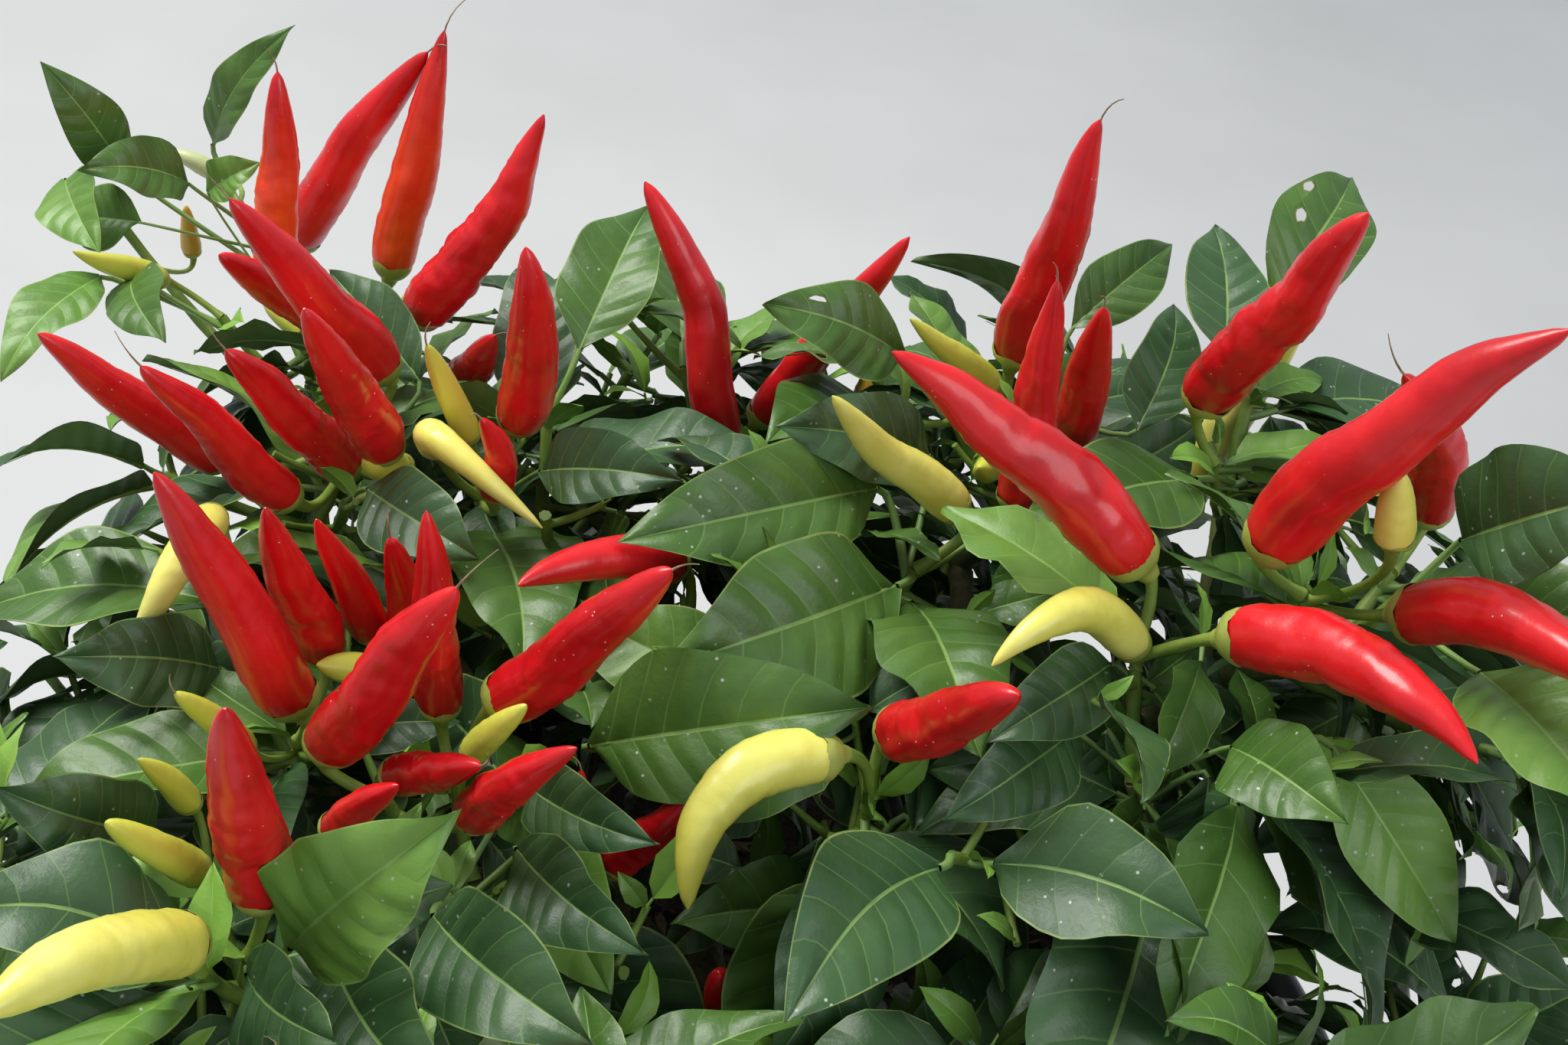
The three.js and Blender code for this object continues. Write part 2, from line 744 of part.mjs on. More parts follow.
// The sprig that a foot stands on: one that is near enough, or a new one under the foot
function sprigFor(plan, foot) {
  let best = -1;
  let reach = SHARE_DISTANCE;
  plan.sprigs.forEach((sprig, i) => {
    const distance = sprig.point.distanceTo(foot);
    if (distance < reach && sprig.point.z < foot.z + ROOT_CONE) {
      best = i;
      reach = distance;
    }
  });
  if (best >= 0) {
    return best;
  }
  const down = plan.heart.clone().sub(foot).setLength(FOOT_STALK);
  return addSprig(plan, foot.clone().add(down));
}

function podCurve(foot, tip, bend) {
  return arc(foot, bend ?? foot.clone().lerp(tip, 0.5), tip);
}

function podBalls(curve, girth) {
  return ballsAlong(curve, POD_GIRTHS_ALONG.map((share) => share * girth), 8);
}

function stalkCurve(root, curve) {
  const foot = curve.getPoint(0);
  const back = -STALK_BEND * root.distanceTo(foot);
  return arc(root, foot.clone().addScaledVector(curve.getTangent(0), back), foot);
}

function stalkBalls(stalk) {
  return ballsAlong(stalk, [STALK_RADIUS, STALK_TOP_RADIUS], 4);
}

function addPod(plan, sprig, colour, curve, girth) {
  const stalk = stalkCurve(nextRoot(plan.sprigs[sprig]), curve);
  plan.pods.push({ colour, curve, girth, stalk, sprig });
  remember('pod', plan.name, sprig, podBalls(curve, girth));
  remember('twig', plan.name, sprig, stalkBalls(stalk));
}

function addLeaf(plan, sprig, root, foot, tip, width, roll) {
  plan.leaves.push({ sprig, root, foot, tip, width, roll });
  remember('leaf', plan.name, sprig, leafBalls(foot, tip, width, roll));
}

function planKnown(name) {
  const mass = MASSES[name];
  const heart = vector(mass.heart);
  const stem = limbCurve(tipOf(mass.on), heart);
  const plan = { name, heart, stem, sprigs: [], pods: [], leaves: [] };
  plans[name] = plan;
  for (const [colour, foot, tip, girth, bend] of mass.pods) {
    const sprig = sprigFor(plan, vector(foot));
    addPod(plan, sprig, colour, podCurve(vector(foot), vector(tip), bend && vector(bend)), girth);
  }
}

function planKnownLeaves(name) {
  const plan = plans[name];
  for (const [foot, tip, width] of MASSES[name].leaves) {
    const sprig = sprigFor(plan, vector(foot));
    const roll = facingRoll(vector(foot), vector(tip));
    addLeaf(plan, sprig, nextRoot(plan.sprigs[sprig]), vector(foot), vector(tip), width, roll);
  }
}

// New sprigs spread over a dome round the heart, in the mass's own space and inside the crown
function planSprigs(name, key) {
  const plan = plans[name];
  const lifts = MASSES[name].low ? LOW_SPRIG_LIFTS : SPRIG_LIFTS;
  for (let i = 0; i < SPRIG_TRIES && plan.sprigs.length < SPRIG_LIMIT; i++) {
    const turn = i * GOLDEN_ANGLE + chance(key, i, 1) * TURN_PLAY;
    const lift = mix(lifts[0], lifts[1], i / (SPRIG_TRIES - 1));
    const flat = Math.sqrt(1 - lift * lift);
    const reach = mix(SPRIG_NEAREST, 1, chance(key, i, 2));
    const point = new THREE.Vector3(
      plan.heart.x + Math.cos(turn) * flat * SPRIG_REACH[0] * reach,
      plan.heart.y + Math.sin(turn) * flat * SPRIG_REACH[1] * reach,
      plan.heart.z + lift * SPRIG_REACH[2] * reach,
    );
    const spaced = plan.sprigs.every((sprig) => sprig.point.distanceTo(point) > SPRIG_SPACING);
    const stays = inOwnSpace(point, name, 0) && insideCrown(point, -SPRIG_INSET);
    const balls = ballsAlong(twigCurve(plan, point), [TWIG_RADIUS, TWIG_TIP_RADIUS], 6);
    if (spaced && stays && isClear(balls.slice(2), name, -1)) {
      addSprig(plan, point);
    }
  }
}

// Upright pods on the sprigs that carry none, leaning outwards
function planPods(name, key) {
  const plan = plans[name];
  const bare = plan.sprigs.map((sprig, i) => i).filter((i) => plan.pods.every((pod) => pod.sprig !== i));
  for (const i of bare) {
    const root = plan.sprigs[i].point;
    if (MASSES[name].podless || chance(key, i, 11) > POD_SHARE || root.z < plan.heart.z) {
      continue;
    }
    const outward = new THREE.Vector3(root.x - CROWN_CENTRE[0], root.y - CROWN_CENTRE[1], 0).normalize();
    outward.applyAxisAngle(UP, mix(-POD_TURN, POD_TURN, chance(key, i, 12)));
    const lean = mix(POD_LEANS[0], POD_LEANS[1], chance(key, i, 13));
    const axis = UP.clone().addScaledVector(outward, lean).normalize();
    const foot = root.clone().addScaledVector(axis, mix(POD_FEET[0], POD_FEET[1], chance(key, i, 14)));
    const length = mix(POD_LENGTHS[0], POD_LENGTHS[1], chance(key, i, 15));
    const tip = foot.clone().addScaledVector(axis, length);
    const side = new THREE.Vector3().crossVectors(axis, outward).normalize();
    const aside = mix(-POD_BEND, POD_BEND, chance(key, i, 16));
    const bend = foot.clone().lerp(tip, 0.5).addScaledVector(side, aside);
    const girth = mix(POD_GIRTHS[0], POD_GIRTHS[1], chance(key, i, 17));
    const curve = podCurve(foot, tip, bend);
    const colour = chance(key, i, 18) < RED_SHARE ? 'red' : 'yellow';
    const stalk = stalkBalls(stalkCurve(root, curve));
    if (isClear(podBalls(curve, girth), name, -1) && isClear(stalk.slice(2), name, i)) {
      addPod(plan, i, colour, curve, girth);
    }
  }
}

// Leaves stand round each sprig by the golden angle, the later ones lower and longer
function planLeaves(name, key, round) {
  const plan = plans[name];
  plan.sprigs.forEach((sprig, i) => {
    let count = plan.leaves.filter((leaf) => leaf.sprig === i).length;
    for (let j = 0; j < LEAF_TRIES && count < LEAF_LIMIT + round; j++) {
      const id = (round * SPRIG_LIMIT * 2 + i) * LEAF_TRIES + j;
      const turn = (j + i / 3) * GOLDEN_ANGLE + chance(key, id, 21) * TURN_PLAY;
      const fall = (j + chance(key, id, 22)) / LEAF_TRIES;
      const slope = mix(LEAF_SLOPES[0], LEAF_SLOPES[1], fall);
      const along = new THREE.Vector3(Math.cos(turn), Math.sin(turn), slope).normalize();
      const shortest = mix(LEAF_LENGTHS[0], LOW_LEAF_LENGTHS[0], fall);
      const longest = mix(LEAF_LENGTHS[1], LOW_LEAF_LENGTHS[1], fall);
      const length = mix(shortest, longest, chance(key, id, 23)) * LEAF_ROUNDS[round];
      const stretch = mix(LEAF_WIDTH_RANGE[0], LEAF_WIDTH_RANGE[1], chance(key, id, 24));
      const width = length * LEAF_WIDTH_RATIO * stretch;
      const foot = sprig.curve.getPoint(Math.max(LOWEST_STALK, 1 - STALK_SPACING * sprig.carried));
      const tip = foot.clone().addScaledVector(along, length);
      const roll = mix(-LEAF_ROLL, LEAF_ROLL, chance(key, id, 25));
      const balls = leafBalls(foot, tip, width, roll);
      const stays = balls.every((b) => insideCrown(b.at, LEAF_SPARE) && inOwnSpace(b.at, name, LEAF_SLACK));
      if (stays && isClear(balls, name, i)) {
        addLeaf(plan, i, nextRoot(sprig), foot, tip, width, roll);
        count += 1;
      }
    }
  });
}

function potWallRadius(height) {
  return mix(POT_FOOT_RADIUS, POT_NECK_RADIUS, height / (POT_HEIGHT - RIM_DEPTH));
}

// A leaf is an eight-sided lozenge: its root in the twig, its tip, its two edges, and the upper
// and lower points of its midrib
function leafSolid(leaf, root) {
  const { along, across, face } = leafFrame(leaf.foot, leaf.tip, leaf.roll);
  const length = leaf.foot.distanceTo(leaf.tip);
  const half = leaf.width / 2;
  const middle = leaf.foot.clone()
    .addScaledVector(along, LEAF_WIDEST * length)
    .addScaledVector(face, LEAF_ARCH * length);
  const geometry = new THREE.OctahedronGeometry(1);
  const position = geometry.attributes.position;
  for (let i = 0; i < position.count; i++) {
    const [x, y, z] = [position.getX(i), position.getY(i), position.getZ(i)];
    let point = middle.clone();
    if (y < -0.5) {
      point = root;
    } else if (y > 0.5) {
      point = leaf.tip;
    }
    point = point.clone()
      .addScaledVector(across, x * half)
      .addScaledVector(face, Math.abs(x) * half * LEAF_FOLD + z * length * LEAF_THICKNESS / 2);
    position.setXYZ(i, point.x, point.y, point.z);
  }
  return toSolid(geometry);
}

// A twig starts as a point on the axis of what it grows from, and ends in a blunt point
function twigSolid(curve, rootRadius, tipRadius) {
  const length = curve.getLength();
  const profile = [
    [0, 0],
    [rootRadius, ROOT_CONE / length],
    [tipRadius, 1],
    [0, 1 + 2 * tipRadius / length],
  ];
  return sweep(profile, curve, TWIG_SIDES);
}

function stemSolid(curve, grow) {
  const profile = [
    [0, 0],
    [STEM_RADIUS + grow, 0],
    [STEM_TIP_RADIUS + grow, 1],
    [0, 1 + 2 * STEM_TIP_RADIUS / curve.getLength()],
  ];
  return sweep(profile, curve, STEM_SIDES);
}

// A pod and the stalk that carries it are turned as one body about one path
function podSolid(pod) {
  const path = new THREE.CurvePath();
  path.add(pod.stalk);
  path.add(pod.curve);
  const length = path.getLength();
  const foot = pod.stalk.getLength() / length;
  const radius = pod.girth / 2;
  const along = (share) => foot + (1 - foot) * share;
  const profile = [
    [0, 0],
    [STALK_RADIUS, ROOT_CONE / length],
    [STALK_TOP_RADIUS, foot],
    [radius, along(POD_SHOULDER)],
    [radius * POD_WAIST[0], along(POD_WAIST[1])],
    [0, 1],
  ];
  return sweep(profile, path, POD_SIDES);
}

function cutBy(solid, cutters) {
  return cutters.reduce((left, cutter) => left.subtract(cutter), solid);
}

// The stem, twigs and pods of a mass, cut clear of the limbs and of the stems beside it
function woodSolid(name, cutters) {
  const plan = plans[name];
  const twigs = plan.sprigs.map((sprig) => twigSolid(sprig.curve, TWIG_RADIUS, TWIG_TIP_RADIUS));
  const pods = plan.pods.map((pod) => podSolid(pod));
  const wood = [...twigs, ...pods].reduce((all, piece) => all.add(piece), stemSolid(plan.stem, 0));
  return cutBy(wood, cutters);
}

// A mass is its wood with the leaves joined on one by one. A leaf is left off if it meets another
// mass or a limb, or if its crossing would leave an open edge.
function massSolid(name, wood, others) {
  let joined = wood;
  for (const leaf of plans[name].leaves) {
    const solid = leafSolid(leaf, leaf.root);
    const tried = joined.add(solid);
    if (others.every((other) => other.intersect(solid).isEmpty()) && staysClosed(tried)) {
      joined = tried;
    }
  }
  return largest(joined);
}

// The pot: a tapering wall with a thick turned rim, a flat floor and drainage holes
function potSolid() {
  const neck = POT_HEIGHT - RIM_DEPTH;
  const floor = POT_WALL;
  const profile = [
    [0, 0],
    [POT_FOOT_RADIUS - FOOT_ROUND[0], 0],
    [POT_FOOT_RADIUS, FOOT_ROUND[1]],
    [POT_NECK_RADIUS, neck - 1],
    [RIM_RADIUS - 1, neck + 1],
    [RIM_RADIUS, POT_HEIGHT - RIM_BEAD],
    [RIM_RADIUS - RIM_BEAD, POT_HEIGHT],
    [RIM_RADIUS - RIM_TURN, POT_HEIGHT - RIM_LIP],
    [POT_NECK_RADIUS - POT_WALL, neck - RIM_LIP * 2],
    [POT_FOOT_RADIUS - POT_WALL, floor + FOOT_ROUND[0]],
    [POT_FOOT_RADIUS - POT_WALL - FOOT_ROUND[1], floor],
    [0, floor],
  ];
  const wall = new THREE.LatheGeometry(profile.map(([r, z]) => new THREE.Vector2(r, z)), POT_SIDES);
  wall.rotateX(Math.PI / 2);
  let pot = toSolid(wall);
  for (let i = 0; i < HOLE_COUNT; i++) {
    const turn = (i + 0.5) / HOLE_COUNT * 2 * Math.PI;
    const hole = new THREE.CylinderGeometry(HOLE_RADIUS, HOLE_RADIUS, POT_WALL * 4, HOLE_SIDES);
    hole.rotateX(Math.PI / 2);
    hole.translate(Math.cos(turn) * HOLE_RING_RADIUS, Math.sin(turn) * HOLE_RING_RADIUS, floor / 2);
    pot = pot.subtract(toSolid(hole));
  }
  return pot;
}

// The compost fills the pot from its floor to a little below the rim
function compostSolid() {
  const low = POT_WALL + GAP;
  const inside = (z) => potWallRadius(z) - POT_WALL - COMPOST_CLEARANCE;
  const profile = [
    [0, low],
    [inside(0) - FOOT_ROUND[1] * 2, low],
    [inside(low), low + FOOT_ROUND[1] * 2],
    [inside(COMPOST_LEVEL), COMPOST_LEVEL - COMPOST_DIP],
    [inside(COMPOST_LEVEL) - COMPOST_SHOULDER, COMPOST_LEVEL],
    [0, COMPOST_LEVEL],
  ];
  const body = new THREE.LatheGeometry(profile.map(([r, z]) => new THREE.Vector2(r, z)), COMPOST_SIDES);
  body.rotateX(Math.PI / 2);
  return toSolid(body);
}

function addMesh(group, name, solid, finish) {
  const mesh = new THREE.Mesh(toGeometry(solid), new THREE.MeshStandardMaterial(FINISHES[finish]));
  mesh.name = name;
  group.add(mesh);
}

// Limbs are cut clear of the limb they grow from and of the limbs made before them at that fork
function cutLimbs() {
  const solids = { trunk: trunkSolid(0) };
  const grownLimbs = { trunk: trunkSolid(GAP) };
  for (const [name, bough] of Object.entries(BOUGHS)) {
    const neighbours = Object.keys(solids).filter((other) => other === bough.from
      || (other !== 'trunk' && BOUGHS[other].from === bough.from));
    let solid = boughSolid(name, 0);
    for (const other of neighbours) {
      solid = solid.subtract(grownLimbs[other]);
    }
    solids[name] = largest(solid);
    grownLimbs[name] = boughSolid(name, GAP);
  }
  return { solids, grownLimbs };
}

function rememberLimbs() {
  remember('limb', '', -1, ballsAlong(trunkCurve(), [FLARE_RADIUS, TRUNK_RADIUS, TRUNK_TIP_RADIUS], 8));
  for (const [name, bough] of Object.entries(BOUGHS)) {
    const curve = limbCurve(tipOf(bough.from), vector(bough.tip));
    remember('limb', '', -1, ballsAlong(curve, [rootRadiusOf(name), bough.radius], 12));
  }
}

function rememberStems() {
  for (const [name, mass] of Object.entries(MASSES)) {
    const curve = limbCurve(tipOf(mass.on), vector(mass.heart));
    remember('twig', name, -1, ballsAlong(curve, [STEM_RADIUS, STEM_TIP_RADIUS], 8));
  }
}

function growAll() {
  const names = Object.keys(MASSES);
  rememberLimbs();
  rememberStems();
  names.forEach((name) => planKnown(name));
  names.forEach((name) => planKnownLeaves(name));
  names.forEach((name, key) => planSprigs(name, key));
  names.forEach((name, key) => planPods(name, key));
  LEAF_ROUNDS.forEach((_, round) => {
    names.forEach((name, key) => planLeaves(name, key, round));
  });
}

function buildPlant() {
  const plant = new THREE.Group();
  addMesh(plant, 'pot', potSolid(), 'pot');
  addMesh(plant, 'compost', compostSolid(), 'compost');
  const { solids, grownLimbs } = cutLimbs();
  for (const [name, solid] of Object.entries(solids)) {
    addMesh(plant, name, solid, 'bark');
  }
  growAll();
  const limbs = Object.values(grownLimbs);
  const stems = {};
  const masses = {};
  for (const [name, mass] of Object.entries(MASSES)) {
    const beside = Object.keys(stems).filter((other) => MASSES[other].on === mass.on);
    masses[name] = woodSolid(name, [...limbs, ...beside.map((other) => stems[other])]);
    stems[name] = stemSolid(plans[name].stem, GAP * 3);
  }
  for (const name of Object.keys(MASSES)) {
    const others = Object.keys(masses).filter((other) => other !== name).map((other) => masses[other]);
    masses[name] = massSolid(name, masses[name], [...limbs, ...others]);
    addMesh(plant, name, masses[name], 'foliage');
  }
  return plant;
}

export default buildPlant();
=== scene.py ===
"""The look of a potted chilli plant: leaves, pods, twigs, bark, pot and compost, in metres, +Z up.

The plant grows by the same rule as its solids do, in millimetres, and is then carried on to finer
shoots and more leaves inside the same spaces.
"""

import math
from collections import namedtuple

import bpy
import numpy as np
from mathutils import Matrix, Vector, noise


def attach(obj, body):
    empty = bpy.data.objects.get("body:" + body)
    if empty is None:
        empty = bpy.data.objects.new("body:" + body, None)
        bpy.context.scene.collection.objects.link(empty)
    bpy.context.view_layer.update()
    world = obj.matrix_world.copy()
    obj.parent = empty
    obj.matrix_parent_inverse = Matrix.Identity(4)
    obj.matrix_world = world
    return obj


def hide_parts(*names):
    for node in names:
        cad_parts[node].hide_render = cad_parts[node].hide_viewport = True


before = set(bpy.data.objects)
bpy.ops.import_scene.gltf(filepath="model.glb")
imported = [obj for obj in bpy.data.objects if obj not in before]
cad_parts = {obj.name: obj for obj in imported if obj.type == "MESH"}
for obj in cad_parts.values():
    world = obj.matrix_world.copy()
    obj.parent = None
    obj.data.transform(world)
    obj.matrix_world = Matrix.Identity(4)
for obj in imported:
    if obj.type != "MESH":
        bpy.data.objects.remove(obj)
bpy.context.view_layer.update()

MM = 0.001
SEED = 20261
GOLDEN_ANGLE = math.pi * (3 - math.sqrt(5))

# Where the keys of the random numbers start for each kind of growth
SHOOT_KEYS, TUFT_KEYS, FILL_KEYS = 900, 20000, 40000
LEAF_KEYS, POD_KEYS, YOUNG_POD_KEYS = 1000, 9000, 9900

# Driving dimensions of the solids, in millimetres
POT_HEIGHT = 213
POT_FOOT_RADIUS = 90
POT_NECK_RADIUS = 118
POT_WALL = 2.6
RIM_RADIUS = 125
RIM_DEPTH = 17
HOLE_RADIUS = 7
HOLE_RING_RADIUS = 58
HOLE_COUNT = 8
COMPOST_LEVEL = 188
TRUNK_FOOT = (0, 0, 186)
TRUNK_TIP = (2, 8, 222)
TRUNK_BEND = (1.5, -2.5, 0)
FLARE_RADIUS = 9
TRUNK_RADIUS = 5.6
TRUNK_TIP_RADIUS = 4.6
BOUGH_TAPER = 0.78
BOUGH_SAG = 0.1
SWELL = 1.1
STEM_RADIUS = 1.8
STEM_TIP_RADIUS = 1.5
TWIG_RADIUS = 1.3
TWIG_TIP_RADIUS = 1
STALK_RADIUS = 1.2
STALK_TOP_RADIUS = 1.6
STALK_SPACING = 0.075
STALK_BEND = 0.45
TWIG_SPACING = 0.12
TWIG_SAG = 0.12
LOWEST_TWIG = 0.4
LOWEST_STALK = 0.3
ROOT_CONE = 3
SHARE_DISTANCE = 24
SPRIG_SPACING = 22
FOOT_STALK = 13
SPRIG_REACH = (42, 42, 30)
SPRIG_LIFTS = (0.95, -0.35)
LOW_SPRIG_LIFTS = (0.1, -0.8)
SPRIG_NEAREST = 0.7
SPRIG_INSET = 14
SPRIG_TRIES = 22
SPRIG_LIMIT = 6
TURN_PLAY = 0.8
LEAF_ARCH = 0.1
LEAF_FOLD = 0.16
LEAF_WIDTH_RATIO = 0.48
LEAF_WIDTH_RANGE = (0.85, 1.12)
LEAF_SLOPES = (0.5, -1.1)
LEAF_ROLL = 0.35
LEAF_OUTWARD = 0.7
FACING_SHARE = 0.85
LEAF_TRIES = 14
LEAF_LIMIT = 3
LEAF_ROUNDS = (1, 0.86, 0.72)
LEAF_LENGTHS = (36, 52)
LOW_LEAF_LENGTHS = (48, 64)
LEAF_SPARE = 6
LEAF_SLACK = 20
POD_SHARE = 0.5
POD_TURN = 0.9
POD_LEANS = (0.25, 0.75)
POD_FEET = (12, 18)
POD_LENGTHS = (36, 50)
POD_GIRTHS = (7.5, 9.5)
POD_BEND = 7
RED_SHARE = 0.72
POD_GIRTHS_ALONG = (0.42, 0.5, 0.38, 0.22, 0.06)
CROWN_CENTRE = (-4, 10)
CROWN_RADII = (150, 128)
CROWN_SHOULDER = 300
CROWN_RISE = 28
CROWN_TILT = 0.14
CROWN_SKIRT = 218

# Clearances in millimetres, and the share of a leaf near its root that may touch its own sprig
CLEAR_OF_LEAF = 3.4
CLEAR_OF_OWN_LEAF = 2.2
CLEAR_OF_POD = 1.6
CLEAR_OF_WOOD = 1.6
CLEAR_OF_OWN_TWIG = 0.8
SHARED_ROOT = 0.3
LEAF_ROWS = 8
LEAF_COLUMNS = np.array([-0.9, -0.45, 0, 0.45, 0.9])
LEAF_BALL = 0.5

# Finer growth that the solids leave out: side shoots, tufts at the tips, and leaves that fill the rest
FINE_CLEAR = 1.7
FINE_CLEAR_OWN = 1.0
FINE_WIDTH_RATIO = {"small": 0.5, "young": 0.42}
FINE_WIDTH_RANGE = (0.88, 1.12)
FINE_ROLL = 0.5
FIRST_SHOOT = 100
SHOOT_SHARES = (0.94, 0.76, 0.58, 0.42)
SHOOT_LENGTHS = (9, 18)
SHOOT_RADIUS = 0.7
SHOOT_SLOPES = (-0.1, 0.9)
SHOOT_INSET = 4
SHOOT_CLEAR = (1.2, 0.8)
SHOOT_TRIES = 8
SHOOT_LEAVES = 4
SHOOT_LEAF_SLOPES = (0.7, -0.8)
SHOOT_LEAF_LENGTHS = (17, 33)
TUFT_LEAVES = 5
TUFT_SLOPES = (0.4, 1.5)
TUFT_LENGTHS = (7, 17)
FILL_TRIES = 12
FILL_SLOPES = (0.4, -1.2)
FILL_FEET = (0.95, 0.25)
FILL_LENGTHS = ((30, 44), (22, 34), (15, 26))

# Pods that would touch bow apart: how many times, how near their feet must be, and the gap they keep
PARTING_ROUNDS = 4
PARTING_REACH = 90
POD_GAP = 0.2

# Each bough: the limb it grows from, its tip and its radius there
Bough = namedtuple("Bough", "root tip radius")
BOUGHS = {
    "bough_left": Bough("trunk", (-36, 26, 250), 3.1),
    "bough_right": Bough("trunk", (44, 22, 262), 3.1),
    "bough_front": Bough("trunk", (10, -22, 244), 2.7),
    "bough_back": Bough("trunk", (-10, 48, 246), 2.8),
    "bough_left_back": Bough("bough_left", (-74, 80, 258), 2.2),
    "bough_left_side": Bough("bough_left", (-80, 16, 254), 2.2),
    "bough_left_front": Bough("bough_left", (-44, -16, 250), 2.2),
    "bough_front_right": Bough("bough_front", (28, -48, 250), 2.1),
    "bough_back_left": Bough("bough_back", (-22, 86, 254), 2.1),
    "bough_right_back": Bough("bough_right", (34, 80, 274), 2.2),
    "bough_right_side": Bough("bough_right", (74, 42, 290), 2.2),
    "bough_right_front": Bough("bough_right", (74, -4, 276), 2.2),
}

